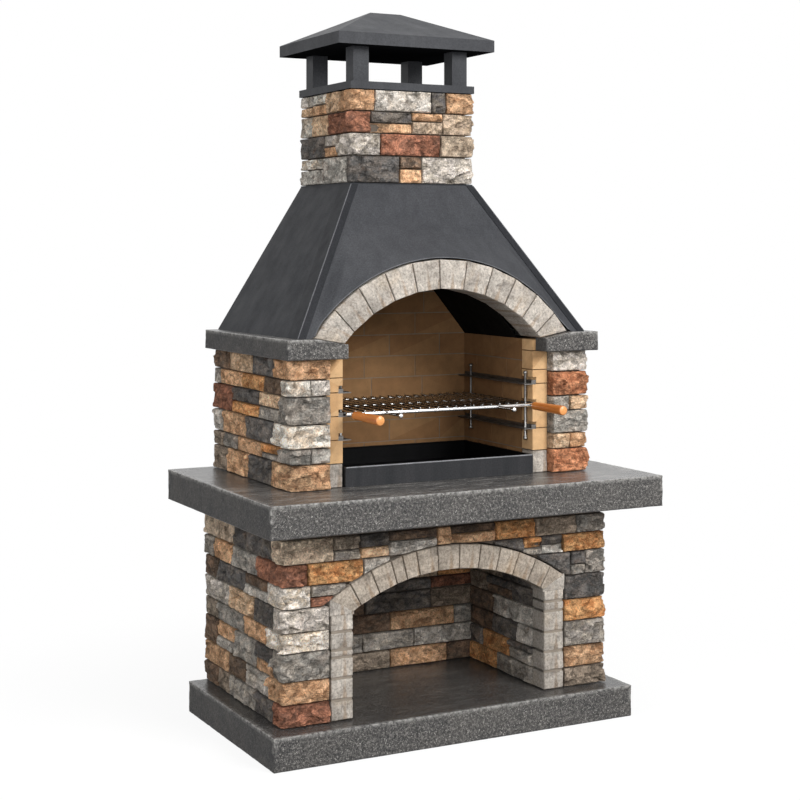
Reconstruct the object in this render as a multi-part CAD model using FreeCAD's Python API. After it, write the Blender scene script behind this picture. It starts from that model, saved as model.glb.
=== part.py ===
import FreeCAD, Part
import math
import os
from collections import namedtuple

# A free-standing masonry barbecue: a stone-faced wood store with an arched front,
# a firebrick-lined fire space on a granite worktop, a steel hood over a stone arch,
# a stone-faced chimney and a steel rain cap. A cooking grill and a fire tray slide out.
# Millimetres. X runs right, Y runs back, Z runs up from the ground, and the origin
# is under the middle of the worktop.

# Slabs
WORKTOP_DEPTH = 864.0
WORKTOP_THICKNESS = 98.0
WORKTOP_SIDE_OVERHANG = 110.0
PLINTH_THICKNESS = 100.0
PLINTH_FRONT_STEP = 72.0
PLINTH_SIDE_STEP = 58.0
SLAB_EDGE = 7.0

# Lower storey
STORE_WIDTH = 676.0
LOWER_WALL = 232.0
LOWER_HEIGHT = 590.0
LOWER_FRONT_OVERHANG = 171.0
LOWER_BACK_OVERHANG = 55.0
STORE_BACK_WALL = 163.0

# Stone facing
VENEER = 38.0
QUOIN_BED = 70.0
STONE_JOINT = 5.0
STONE_EDGE = 5.0
LEAST_STONE = 14.0

# Arch of the wood store
STORE_SPRING_HEIGHT = 322.0
STORE_ARCH_RISE = 97.0
STORE_ARCH_RING = 78.0
STORE_JAMB_WIDTH = 77.0
LINTEL_THICKNESS = 50.0
LINTEL_SETBACK = 14.0

# Upper storey
UPPER_HEIGHT = 394.0
UPPER_SIDE_STEP = 43.0
UPPER_FRONT_STEP = 36.0
UPPER_BACK_STEP = 33.0
PIER_WIDTH = 132.0
BACK_CORE_THICKNESS = 64.0
FIREBRICK_THICKNESS = 55.0
FIREBRICK_COURSE = 72.0
FIREBRICK_LENGTH = 194.0
FIREBRICK_JOINT = 3.0
BRICK_SHIFTS = (0.5, 0.99, 0.5, 0.64)
JAMB_RECESS = 35.0
JAMB_DEPTH = 66.0
BACK_WALL_RISE = 232.0

# Mantel
MANTEL_THICKNESS = 62.0
MANTEL_SIDE_OVERHANG = 24.0
MANTEL_FRONT_OVERHANG = 32.0
MANTEL_BACK_OVERHANG = 21.0
MANTEL_FIRE_STEP = 10.0

# Arch of the fire space
FIRE_ARCH_SIDE_STEP = 8.0
FIRE_ARCH_DROP = 19.0
FIRE_ARCH_RISE = 162.0
FIRE_ARCH_RING = 95.0
FIRE_ARCH_DEPTH = 118.0
FIRE_ARCH_SETBACK = 35.0
LINING_HEAD_GAP = 5.0

# Hood
HOOD_SIDE_STEP = 44.0
HOOD_FRONT_STEP = 24.0
HOOD_BACK_STEP = 7.0
HOOD_HEIGHT = 475.0
HOOD_PLATE = 4.0
HOOD_STRIP_THICKNESS = 2.0
HOOD_STRIP_SIDE_LEG = 75.0
HOOD_STRIP_FRONT_LEG = 24.0
BAFFLE_SHEET = 3.0
BAFFLE_HEIGHT = 215.0
BAFFLE_LEAN = 0.82
BAFFLE_FRONT_GAP = 14.0
FLASHING_THICKNESS = 3.0
FLASHING_CLEARANCE = 0.5
HOOD_LINING_CLEARANCE = 4.0

# Chimney
CHIMNEY_WIDTH = 444.0
CHIMNEY_DEPTH = 394.0
CHIMNEY_HEIGHT = 300.0
CHIMNEY_BACK_STEP = 22.0
FLUE_WALL = 60.0

# Rain cap
COLLAR_OVERHANG = 4.0
COLLAR_THICKNESS = 24.0
POST_SIZE = 55.0
POST_INSET = 18.0
POST_HEIGHT = 113.0
ROOF_OVERHANG_X = 62.0
ROOF_OVERHANG_Y = 37.0
ROOF_FASCIA = 38.0
ROOF_RISE = 100.0
ROOF_RIDGE = 114.0

# Grill rails
RAIL_FIRST_COURSE = 2
RAIL_COUNT = 3
RAIL_SHEET = 3.0
RAIL_LEDGE = 30.0
RAIL_LEG = 14.0
RAIL_FRONT_GAP = 2.0
RAIL_BACK_GAP = 8.0
RAIL_LUG_LENGTH = 36.0
NOTCH_HEIGHT = 24.0
NOTCH_DEPTH = 14.0
ROD_DIAMETER = 8.0
ROD_WALL_GAP = 4.0
ROD_FRONT_INSET = 32.0
ROD_BACK_INSET = 57.0
ROD_REACH = 40.0
ROD_KNOB_DIAMETER = 14.0
ROD_KNOB_LENGTH = 12.0
KNOB_EASE = 0.25
CLEARANCE = 0.3

# Facets round the bars and the turned pieces
BAR_SIDES = 12
ROD_SIDES = 8
WIRE_SIDES = 8
HANDLE_SIDES = 16

# Cooking grill
GRILL_RAIL_INDEX = 1
GRILL_BACK_GAP = 53.0
GRILL_SIDE_BAR = 10.0
GRILL_ROD_GAP = 4.0
GRILL_FRONT_BAR = 12.0
GRILL_FRONT_GAP = 10.0
GRILL_FRONT_BAR_SIDE_GAP = 6.0
GRILL_CROSS_BAR = 6.0
GRILL_CROSS_BARS = 2
GRILL_WIRE = 5.0
GRILL_WIRE_PITCH = 32.0
GRILL_WIRE_END = 7.0
PRONG_SPREAD = 400.0
PRONG_LENGTH = 90.0
PRONG_DIAMETER = 8.0
PRONG_BALL = 15.0
SHANK_DIAMETER = 8.0
SHANK_INSET = 11.0
SHANK_LENGTH = 26.0
SHANK_TANG = 60.0
HANDLE_LENGTH = 172.0
HANDLE_DIAMETER = 30.0
HANDLE_NECK = 25.0
HANDLE_ROUNDING = 3.0

# Fire tray
TRAY_HEIGHT = 60.0
TRAY_SHEET = 3.0
TRAY_SIDE_GAP = 5.0
TRAY_FRONT_STEP = 10.0
TRAY_BACK_GAP = 8.0
TRAY_RIM = 8.0

# A course of facing stones: its height, the corner stone's length on the front and its
# return down the side, then the other stones of the front and of the side, from the corner.
Course = namedtuple("Course", "height quoin turn front side")

# Two thin stones laid one on the other in the height of their course.
Pair = namedtuple("Pair", "length lower")

LOWER_LEFT = (
    Course(66, 155, 70, (), (138, 210, 100, 115)),
    Course(67, 155, 108, (), (Pair(175, 0.66), 140, 200)),
    Course(85, 155, 86, (), (Pair(120, 0.45), 165, Pair(150, 0.42), 110)),
    Course(59, 155, 126, (), (175, 215, 105)),
    Course(71, 155, 70, (), (150, 195, 210)),
    Course(65, 105, 119, (Pair(130, 0.46),), (Pair(165, 0.5), 225, 115)),
    Course(66, 90, 89, (202, 100), (108, 195, 153, 80)),
    Course(74, 165, 86, (Pair(87, 0.42), Pair(97, 0.45), Pair(165, 0.6), 48), (192, 95, 125, 125)),
    Course(37, 120, 110, (150, 170, 130), (160, 180, 140)),
)
LOWER_RIGHT = (
    Course(63, 152, 92, (), (190, 130, 215)),
    Course(68, 152, 126, (), (120, Pair(180, 0.55), 190)),
    Course(80, 152, 70, (), (175, Pair(140, 0.48), 205)),
    Course(70, 152, 110, (), (210, 110, 170)),
    Course(79, 152, 88, (), (Pair(150, 0.45), 190, 160)),
    Course(76, 82, 130, (Pair(60, 0.44), 135), (165, 205, 130)),
    Course(58, 178, 70, (Pair(90, 0.5), Pair(75, 0.4), 120), (140, 120, 250)),
    Course(60, 108, 96, (155, 147, Pair(160, 0.58)), (185, Pair(160, 0.5), 170)),
    Course(36, 140, 84, (160, 120, 150), (170, 150, 190)),
)
LOWER_BACK = (
    (66, (170, 120, Pair(160, 0.5), 230, 150, 190)),
    (67, (110, 215, 140, 165, Pair(190, 0.45), 200)),
    (85, (200, Pair(130, 0.5), 220, 110, 180, 180)),
    (59, (140, 190, 230, 150, 120, 190)),
    (71, (215, 150, Pair(170, 0.55), 200, 110, 175)),
    (65, (120, 200, 150, 210, 190, 150)),
    (66, (190, 110, 225, Pair(150, 0.5), 160, 185)),
    (74, (150, 230, 120, 190, 200, 130)),
    (37, (210, 160, 190, 140, 230, 90)),
)
STORE_LEFT = (
    (60, (175, 230)),
    (62, (148, 165, Pair(92, 0.6))),
    (63, (155, 158, 92)),
    (66, (150, 255)),
    (60, (125, 150, 130)),
    (64, (210, 195)),
    (70, (130, Pair(140, 0.5), 135)),
    (75, (200, 205)),
    (70, (140, 160, 105)),
)
STORE_RIGHT = (
    (60, (175, 230)),
    (62, (90, 168, Pair(147, 0.62))),
    (63, (155, 158, 92)),
    (66, (155, 250)),
    (60, (125, Pair(150, 0.5), 130)),
    (64, (205, 200)),
    (70, (135, 140, 130)),
    (75, (205, 200)),
    (70, (105, 160, 140)),
)
STORE_BACK = (
    (62, (150, 215, 197, 114)),
    (62, (140, 133, 174, 229)),
    (63, (110, 128, 128, 222, 88)),
    (66, (150, 130, 225, 171)),
    (39, (100, 190, 215, 171)),
    (60, (180, 150, 200, 146)),
    (70, (120, 220, 160, 176)),
    (84, (190, 160, 210, 116)),
    (84, (130, 210, 150, 186)),
)
UPPER_LEFT = (
    Course(79, 132, 147, (), (188, 165, 115)),
    Course(47, 68, 70, (64,), (Pair(160, 0.4), 190, 122, 83)),
    Course(72, 132, 140, (), (210, 197, 73)),
    Course(84, 132, 85, (), (Pair(162, 0.48), Pair(210, 0.46), 160)),
    Course(50, 66, 70, (66,), (138, 172, 182, 58)),
    Course(62, 132, 133, (), (165, 192, 130)),
)
UPPER_RIGHT = (
    Course(77, 132, 120, (), (140, 190, 170)),
    Course(50, 66, 84, (66,), (200, Pair(150, 0.5), 180)),
    Course(74, 132, 140, (), (165, 120, 195)),
    Course(47, 66, 70, (66,), (Pair(130, 0.5), 210, 210)),
    Course(79, 132, 128, (), (180, 145, Pair(165, 0.45))),
    Course(67, 132, 86, (), (150, 215, 170)),
)
UPPER_BACK = (
    (79, (150, 210, 120, Pair(170, 0.5), 200, 130)),
    (47, (200, 130, 190, 160, 150, 150)),
    (72, (120, 180, 230, 140, 190, 120)),
    (84, (190, Pair(150, 0.45), 160, 210, 120, 150)),
    (50, (140, 220, 130, 190, 170, 130)),
    (62, (210, 120, 200, 150, 180, 120)),
)

# A course of the chimney: its height, the two corner stones with their returns,
# then the stones between them on the front, the left, the right and the back.
ChimneyCourse = namedtuple("ChimneyCourse", "height left left_turn front right right_turn side back")

CHIMNEY = (
    ChimneyCourse(88, 172, 38, (Pair(80, 0.54),), 186, 70, (175, Pair(187, 0.58)), (150, 110, 108)),
    ChimneyCourse(72, 105, 111, (217,), 120, 96, (Pair(92, 0.47), 190), (95, 165, 108)),
    ChimneyCourse(70, 69, 178, (Pair(150, 0.47), Pair(113, 0.6)), 112, 60, (128, 88),
                  (120, Pair(130, 0.5), 118)),
    ChimneyCourse(70, 84, 91, (207, 55), 98, 120, (103, Pair(108, 0.5), Pair(92, 0.45)), (160, 90, 118)),
)

# Heights of the jamb blocks, from their foot up, and widths of the arch stones along the ring.
STORE_LEFT_JAMB = (63, 65, 62, 22, 54, 54)
STORE_RIGHT_JAMB = (60, 62, 63, 66, 31, 38)
STORE_ARCH_STONES = (80, 77, 72, 41, 50, 74, 80, 77, 74, 72, 68, 61, 61)
FIRE_ARCH_STONES = (112, 103, 100, 100, 97, 100, 97, 94, 95, 89, 78)
FIRE_JAMB_BLOCKS = (72, 72, 72, 45, 61, 38)

# Levels and planes that follow from the driving dimensions
WORKTOP_FRONT = -WORKTOP_DEPTH / 2
WORKTOP_BACK = WORKTOP_DEPTH / 2
WORKTOP_BOTTOM = PLINTH_THICKNESS + LOWER_HEIGHT
WORKTOP_TOP = WORKTOP_BOTTOM + WORKTOP_THICKNESS
LOWER_FRONT = WORKTOP_FRONT + LOWER_FRONT_OVERHANG
LOWER_BACK_FACE = WORKTOP_BACK - LOWER_BACK_OVERHANG
STORE_HALF = STORE_WIDTH / 2
LOWER_HALF = STORE_HALF + LOWER_WALL
LOWER_BED_FRONT = LOWER_FRONT + QUOIN_BED
STORE_ARCH_SPRING = PLINTH_THICKNESS + STORE_SPRING_HEIGHT
STORE_BACK_FACE = LOWER_BACK_FACE - STORE_BACK_WALL
UPPER_FRONT = LOWER_FRONT + UPPER_FRONT_STEP
UPPER_BACK_FACE = LOWER_BACK_FACE + UPPER_BACK_STEP
UPPER_HALF = LOWER_HALF - UPPER_SIDE_STEP
UPPER_BED_FRONT = UPPER_FRONT + QUOIN_BED
LINING_HALF = UPPER_HALF - PIER_WIDTH
FIRE_HALF = LINING_HALF - FIREBRICK_THICKNESS
JAMB_FRONT = UPPER_FRONT + JAMB_RECESS
LINING_BACK = UPPER_BACK_FACE - VENEER - BACK_CORE_THICKNESS
FIRE_BACK_FACE = LINING_BACK - FIREBRICK_THICKNESS
MANTEL_BOTTOM = WORKTOP_TOP + UPPER_HEIGHT
MANTEL_TOP = MANTEL_BOTTOM + MANTEL_THICKNESS
MANTEL_FRONT = UPPER_FRONT - MANTEL_FRONT_OVERHANG
MANTEL_BACK = UPPER_BACK_FACE + MANTEL_BACK_OVERHANG
MANTEL_HALF = UPPER_HALF + MANTEL_SIDE_OVERHANG
MANTEL_INNER = FIRE_HALF + MANTEL_FIRE_STEP
LINING_TOP = MANTEL_TOP - FIRE_ARCH_DROP - LINING_HEAD_GAP
BACK_WALL_TOP = MANTEL_TOP + BACK_WALL_RISE
ARCH_FRONT = MANTEL_FRONT + FIRE_ARCH_SETBACK
ARCH_BACK = ARCH_FRONT + FIRE_ARCH_DEPTH
HOOD_HALF = MANTEL_HALF - HOOD_SIDE_STEP
HOOD_FRONT = MANTEL_FRONT + HOOD_FRONT_STEP
HOOD_BACK = MANTEL_BACK - HOOD_BACK_STEP
HOOD_TOP = MANTEL_TOP + HOOD_HEIGHT
CHIMNEY_BOTTOM = HOOD_TOP + HOOD_PLATE
CHIMNEY_TOP = CHIMNEY_BOTTOM + CHIMNEY_HEIGHT
CHIMNEY_HALF = CHIMNEY_WIDTH / 2
CHIMNEY_BACK = UPPER_BACK_FACE - CHIMNEY_BACK_STEP
CHIMNEY_FRONT = CHIMNEY_BACK - CHIMNEY_DEPTH
CHIMNEY_MIDDLE = (CHIMNEY_FRONT + CHIMNEY_BACK) / 2
COLLAR_TOP = CHIMNEY_TOP + COLLAR_THICKNESS
POST_TOP = COLLAR_TOP + POST_HEIGHT
RAIL_LEVELS = tuple(WORKTOP_TOP + (RAIL_FIRST_COURSE + index) * FIREBRICK_COURSE
                    for index in range(RAIL_COUNT))
GRILL_LEVEL = RAIL_LEVELS[GRILL_RAIL_INDEX] + CLEARANCE + GRILL_SIDE_BAR / 2
GRILL_FRONT = JAMB_FRONT - GRILL_FRONT_GAP

# One flat face of a wall: a corner of its bed plane and the way that it runs.
# Its stones stand out from the bed plane, to the right-hand side of that way.
Wall = namedtuple("Wall", "x y run_x run_y")

# An arch: its centre, the radii of its ring, and the two ends of its cut skewback.
Arch = namedtuple("Arch", "centre_z inner outer spring_x spring_z skew_x skew_z")

nodes = {}


def point(x, y, z):
    return FreeCAD.Vector(x, y, z)


def block(x0, x1, y0, y1, z0, z1):
    return Part.makeBox(x1 - x0, y1 - y0, z1 - z0, point(x0, y0, z0))


def profile(points):
    return Part.Face(Part.makePolygon(list(points) + [points[0]]))


def closed(faces):
    """The solid inside a closed set of faces."""
    shell = Part.makeShell(faces)
    shell.sewShape()
    solid = Part.makeSolid(shell)
    if solid.Volume < 0:
        solid.reverse()
    return solid


def sides_between(bottom, top):
    """Flat faces between two outlines that have equally many corners."""
    faces = []
    for index in range(len(bottom)):
        after = (index + 1) % len(bottom)
        faces.append(profile([bottom[index], bottom[after], top[after], top[index]]))
    return faces


def prism(bottom, top):
    """Solid with flat faces between two outlines that have equally many corners."""
    return closed([profile(bottom), profile(top)] + sides_between(bottom, top))


def ring(centre, way, width, sides):
    """Corners of a regular outline round an axis. Its flats face the other two axes."""
    aside = point(0, 1, 0) if abs(way.x) > abs(way.y) + abs(way.z) else point(1, 0, 0)
    over = way.cross(aside)
    radius = width / 2 / math.cos(math.pi / sides)
    corners = []
    for index in range(sides):
        angle = (2 * index + 1) * math.pi / sides
        corners.append(centre + aside * (radius * math.cos(angle)) + over * (radius * math.sin(angle)))
    return corners


def turned(start, way, steps, sides):
    """Faceted turned piece. Its steps are places along the axis, each with the width there."""
    outlines = [ring(start + way * along, way, width, sides) for along, width in steps]
    faces = [profile(outlines[0]), profile(outlines[-1])]
    for low, high in zip(outlines, outlines[1:]):
        faces += sides_between(low, high)
    return closed(faces)


def bar(start, end, width, sides):
    length = (end - start).Length
    return turned(start, (end - start) * (1 / length), [(0, width), (length, width)], sides)


def knob_steps(place, length, width, neck):
    """Steps of a knob that swells from its neck to its full width and back."""
    ease = length * KNOB_EASE
    return [(place, neck), (place + ease, width), (place + length - ease, width), (place + length, neck)]


def fused(solids):
    whole = solids[0].multiFuse(solids[1:]) if len(solids) > 1 else solids[0]
    return whole.removeSplitter()


def eased(solid, outward, size):
    """Chamfers the edges round the faces that look furthest out along each given way."""
    picked = []
    for way in outward:
        reach = max(vertex.Point.dot(way) for vertex in solid.Vertexes)
        for edge in solid.Edges:
            far = all(abs(vertex.Point.dot(way) - reach) < 1e-6 for vertex in edge.Vertexes)
            if far and not any(edge.isSame(other) for other in picked):
                picked.append(edge)
    return solid.makeChamfer(size, picked)


def eased_slab(solid, size):
    """Chamfers the upright edges and the top edges of a slab."""
    top = solid.BoundBox.ZMax
    bottom = solid.BoundBox.ZMin
    picked = []
    for edge in solid.Edges:
        heights = [vertex.Z for vertex in edge.Vertexes]
        upright = abs(heights[0] - heights[1]) > 1e-6
        if upright or min(heights) > (top + bottom) / 2:
            picked.append(edge)
    return solid.makeChamfer(size, picked)


def fill(start, end, lengths):
    """Spans of the pieces when they are laid in turn and eased to fill the run exactly."""
    stretch = (end - start) / sum(lengths)
    spans = []
    place = start
    for length in lengths:
        spans.append((place, place + length * stretch))
        place += length * stretch
    return spans


def on_wall(wall, along, out, z):
    return point(wall.x + along * wall.run_x + out * wall.run_y,
                 wall.y + along * wall.run_y - out * wall.run_x, z)


def wall_stone(wall, start, end, z0, z1, thickness):
    """One facing stone: bedded on the wall's core, with its outer edges eased."""
    gap = STONE_JOINT / 2
    outline = profile([on_wall(wall, start + gap, 0, z0 + gap), on_wall(wall, end - gap, 0, z0 + gap),
                       on_wall(wall, end - gap, 0, z1 - gap), on_wall(wall, start + gap, 0, z1 - gap)])
    way = point(wall.run_y, -wall.run_x, 0)
    return eased(outline.extrude(way * thickness), [way], STONE_EDGE)


def lay(wall, start, end, z0, z1, parts, thickness):
    """The stones of one course along a wall, with pairs of thin stones where the list has them."""
    stones = []
    lengths = [part.length if isinstance(part, Pair) else part for part in parts]
    for (left, right), part in zip(fill(start, end, lengths), parts):
        if isinstance(part, Pair):
            middle = z0 + (z1 - z0) * part.lower
            stones.append(wall_stone(wall, left, right, z0, middle, thickness))
            stones.append(wall_stone(wall, left, right, middle, z1, thickness))
        else:
            stones.append(wall_stone(wall, left, right, z0, z1, thickness))
    return stones


def lay_wall(wall, length, bottom, top, courses, thickness):
    """All the courses of a plain wall face, given as heights with the stones of each."""
    stones = []
    spans = fill(bottom, top, [height for height, parts in courses])
    for (z0, z1), (height, parts) in zip(spans, courses):
        stones += lay(wall, 0, length, z0, z1, parts, thickness)
    return stones


def corner_stone(x, y, side, front, turn, bed, z0, z1):
    """A stone round a front corner. Side is 1 at the left corner and -1 at the right one."""
    gap = STONE_JOINT / 2
    front_end = x + side * (front - gap)
    points = [(x, y), (front_end, y), (front_end, y + bed)]
    if turn > bed:
        inner = x + side * VENEER
        points += [(inner, y + bed), (inner, y + turn - gap), (x, y + turn - gap)]
    else:
        points += [(x, y + bed)]
    outline = profile([point(px, py, z0 + gap) for px, py in points])
    stone = outline.extrude(point(0, 0, z1 - z0 - STONE_JOINT))
    return eased(stone, [point(0, -1, 0), point(-side, 0, 0)], STONE_EDGE)


def make_arch(half_span, spring_z, rise, ring, skew_x):
    """An arch through its springing points and its crown. The ring ends on a line out to skew_x."""
    inner = (half_span ** 2 + rise ** 2) / (2 * rise)
    centre_z = spring_z + rise - inner
    outer = inner + ring
    skew_z = centre_z + math.sqrt(outer ** 2 - skew_x ** 2)
    return Arch(centre_z, inner, outer, half_span, spring_z, skew_x, skew_z)


STORE_ARCH = make_arch(STORE_HALF, STORE_ARCH_SPRING, STORE_ARCH_RISE, STORE_ARCH_RING,
                       STORE_HALF + STORE_JAMB_WIDTH)


def fire_arch_foot():
    """Half-width at which the ring of the fire arch meets the top of the mantel."""
    half = FIRE_HALF + FIRE_ARCH_SIDE_STEP
    inner = (half ** 2 + FIRE_ARCH_RISE ** 2) / (2 * FIRE_ARCH_RISE)
    centre_z = MANTEL_TOP - FIRE_ARCH_DROP + FIRE_ARCH_RISE - inner
    return math.sqrt((inner + FIRE_ARCH_RING) ** 2 - (MANTEL_TOP - centre_z) ** 2)


FIRE_ARCH = make_arch(FIRE_HALF + FIRE_ARCH_SIDE_STEP, MANTEL_TOP - FIRE_ARCH_DROP, FIRE_ARCH_RISE,
                      FIRE_ARCH_RING, fire_arch_foot())


def arch_stones(arch, widths, front, depth):
    """Wedge-shaped stones round an arch, face to face, with their front edges eased.

    Their joints point at the arch's centre. The two ends of the ring follow the skewbacks.
    """
    inner_end = math.atan2(arch.spring_x, arch.spring_z - arch.centre_z)
    outer_end = math.atan2(arch.skew_x, arch.skew_z - arch.centre_z)
    stones = []
    for start, end in fill(-outer_end, outer_end, widths):
        corners = [(arch.inner, max(start, -inner_end)), (arch.inner, min(end, inner_end)),
                   (arch.outer, end), (arch.outer, start)]
        outline = profile([point(radius * math.sin(angle), front + depth,
                                 arch.centre_z + radius * math.cos(angle)) for radius, angle in corners])
        stones.append(eased(outline.extrude(point(0, -depth, 0)), [point(0, -1, 0)], STONE_EDGE))
    return stones


def disc(arch, radius, y0, y1):
    return Part.makeCylinder(radius, y1 - y0, point(0, y0, arch.centre_z), point(0, 1, 0))


# Slabs

def make_slabs():
    plinth_front = LOWER_FRONT - PLINTH_FRONT_STEP
    half = LOWER_HALF + PLINTH_SIDE_STEP
    plinth = block(-half, half, plinth_front, LOWER_BACK_FACE, 0, PLINTH_THICKNESS)
    nodes["plinth_slab"] = [eased_slab(plinth, SLAB_EDGE)]
    half = LOWER_HALF + WORKTOP_SIDE_OVERHANG
    worktop = block(-half, half, WORKTOP_FRONT, WORKTOP_BACK, WORKTOP_BOTTOM, WORKTOP_TOP)
    nodes["worktop_slab"] = [eased_slab(worktop, SLAB_EDGE)]


# Lower storey

def make_lower_cores():
    bottom = PLINTH_THICKNESS
    top = WORKTOP_BOTTOM
    outer = LOWER_HALF - VENEER
    inner = STORE_HALF + VENEER
    rear = LOWER_BACK_FACE - VENEER
    nodes["lower_left_core"] = [block(-outer, -inner, LOWER_BED_FRONT, rear, bottom, top)]
    nodes["lower_right_core"] = [block(inner, outer, LOWER_BED_FRONT, rear, bottom, top)]
    nodes["lower_back_core"] = [block(-inner, inner, STORE_BACK_FACE + VENEER, rear, bottom, top)]
    lintel_back = LOWER_BED_FRONT + LINTEL_THICKNESS
    lintel = block(-STORE_HALF, STORE_HALF, LOWER_BED_FRONT, lintel_back, STORE_ARCH_SPRING, top)
    opening = disc(STORE_ARCH, STORE_ARCH.inner + LINTEL_SETBACK, LOWER_BED_FRONT, lintel_back)
    nodes["lower_front_lintel"] = [lintel.cut(opening)]


def front_row_end(z_top):
    """Half-width at which a front course ends: at the jamb, on the arch, or in the middle."""
    if z_top <= STORE_ARCH.skew_z:
        return STORE_ARCH.skew_x
    height = z_top - LEAST_STONE - STORE_ARCH.centre_z
    if height >= STORE_ARCH.outer:
        return 0.0
    return math.sqrt(STORE_ARCH.outer ** 2 - height ** 2)


def clear_of(stones, space):
    """The stones, each cut back where it runs into a space."""
    return [stone.cut(space) if stone.common(space).Volume > 0 else stone for stone in stones]


def make_lower_front(name, side, courses):
    """The corner stones, the stones over the arch and the side wall of one half of the store."""
    quoins = []
    spandrels = []
    side_stones = []
    back_y = LOWER_BED_FRONT
    ring = disc(STORE_ARCH, STORE_ARCH.outer + STONE_JOINT / 2, LOWER_FRONT, back_y)
    above = block(-LOWER_HALF, LOWER_HALF, LOWER_FRONT, back_y, STORE_ARCH.skew_z, WORKTOP_BOTTOM)
    jambs = block(-STORE_ARCH.skew_x, STORE_ARCH.skew_x, LOWER_FRONT, back_y,
                  PLINTH_THICKNESS, STORE_ARCH.skew_z)
    heights = [course.height for course in courses]
    for (z0, z1), course in zip(fill(PLINTH_THICKNESS, WORKTOP_BOTTOM, heights), courses):
        end = LOWER_HALF - front_row_end(z1)
        lengths = [course.quoin] + [part.length if isinstance(part, Pair) else part for part in course.front]
        quoin_end = fill(0, end, lengths)[0][1]
        quoins.append(corner_stone(-side * LOWER_HALF, LOWER_FRONT, side, quoin_end, course.turn,
                                   QUOIN_BED, z0, z1))
        front_wall = Wall(-LOWER_HALF if side > 0 else LOWER_HALF - end, back_y, 1, 0)
        if course.front and side > 0:
            spandrels += lay(front_wall, quoin_end, end, z0, z1, course.front, QUOIN_BED)
        elif course.front:
            spandrels += lay(front_wall, 0, end - quoin_end, z0, z1, course.front[::-1], QUOIN_BED)
        turn = max(course.turn, QUOIN_BED)
        depth = LOWER_BACK_FACE - LOWER_FRONT
        if side > 0:
            side_wall = Wall(-LOWER_HALF + VENEER, LOWER_BACK_FACE, 0, -1)
            side_stones += lay(side_wall, 0, depth - turn, z0, z1, course.side[::-1], VENEER)
        else:
            side_wall = Wall(LOWER_HALF - VENEER, LOWER_FRONT, 0, 1)
            side_stones += lay(side_wall, turn, depth, z0, z1, course.side, VENEER)
    nodes["lower_front_%s_quoins" % name] = clear_of(quoins, ring.common(above).fuse(jambs))
    nodes["lower_%s_ledgestones" % name] = side_stones
    return clear_of(spandrels, ring.fuse(jambs))


def make_lower_facing():
    spandrels = make_lower_front("left", 1, LOWER_LEFT)
    spandrels += make_lower_front("right", -1, LOWER_RIGHT)
    nodes["lower_spandrel_stones"] = spandrels
    outer = LOWER_HALF - VENEER
    rear = LOWER_BACK_FACE - VENEER
    bottom = PLINTH_THICKNESS
    top = WORKTOP_BOTTOM
    back_wall = Wall(outer, rear, -1, 0)
    nodes["lower_back_ledgestones"] = lay_wall(back_wall, 2 * outer, bottom, top, LOWER_BACK, VENEER)
    inner = STORE_HALF + VENEER
    depth = STORE_BACK_FACE - LOWER_BED_FRONT
    left_wall = Wall(-inner, LOWER_BED_FRONT, 0, 1)
    nodes["store_left_stones"] = lay_wall(left_wall, depth, bottom, top, STORE_LEFT, VENEER)
    right_wall = Wall(inner, STORE_BACK_FACE, 0, -1)
    nodes["store_right_stones"] = lay_wall(right_wall, depth, bottom, top, STORE_RIGHT, VENEER)
    store_back = Wall(-inner, STORE_BACK_FACE + VENEER, 1, 0)
    nodes["store_back_stones"] = lay_wall(store_back, 2 * inner, bottom, top, STORE_BACK, VENEER)


def make_store_arch():
    """The limestone arch of the wood store, on two stacks of jamb blocks."""
    stones = arch_stones(STORE_ARCH, STORE_ARCH_STONES, LOWER_FRONT, QUOIN_BED)
    nodes["store_arch_stones"] = stones
    gap = STONE_JOINT / 2
    back = LOWER_BED_FRONT
    for name, side, heights in (("left", -1, STORE_LEFT_JAMB), ("right", 1, STORE_RIGHT_JAMB)):
        inner = side * STORE_HALF
        outer = side * (STORE_ARCH.skew_x - gap)
        blocks = []
        for z0, z1 in fill(PLINTH_THICKNESS, STORE_ARCH_SPRING, heights):
            outline = profile([point(inner, back, z0 + gap), point(outer, back, z0 + gap),
                               point(outer, back, z1 - gap), point(inner, back, z1 - gap)])
            blocks.append(eased(outline.extrude(point(0, -QUOIN_BED, 0)), [point(0, -1, 0)], STONE_EDGE))
        spring = STORE_ARCH_SPRING
        skew_rise = (STORE_ARCH.skew_z - spring) * (1 - gap / STORE_JAMB_WIDTH)
        springer = profile([point(inner, back, spring - gap), point(outer, back, spring - gap),
                            point(outer, back, spring + skew_rise), point(inner, back, spring)])
        blocks.append(springer.extrude(point(0, -QUOIN_BED, 0)))
        nodes["store_%s_jamb_blocks" % name] = blocks


# Upper storey

def make_upper_cores():
    outer = UPPER_HALF - VENEER
    rear = UPPER_BACK_FACE - VENEER
    bottom = WORKTOP_TOP
    top = MANTEL_BOTTOM
    nodes["upper_left_core"] = [block(-outer, -LINING_HALF, UPPER_BED_FRONT, rear, bottom, top)]
    nodes["upper_right_core"] = [block(LINING_HALF, outer, UPPER_BED_FRONT, rear, bottom, top)]
    low = block(-LINING_HALF, LINING_HALF, LINING_BACK, rear, bottom, top)
    neck = block(-MANTEL_INNER, MANTEL_INNER, LINING_BACK, rear, bottom, MANTEL_TOP)
    high = block(-UPPER_HALF, UPPER_HALF, LINING_BACK, rear, MANTEL_TOP, BACK_WALL_TOP)
    nodes["upper_back_core"] = [fused([low, neck, high.common(hood_space())])]


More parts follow.
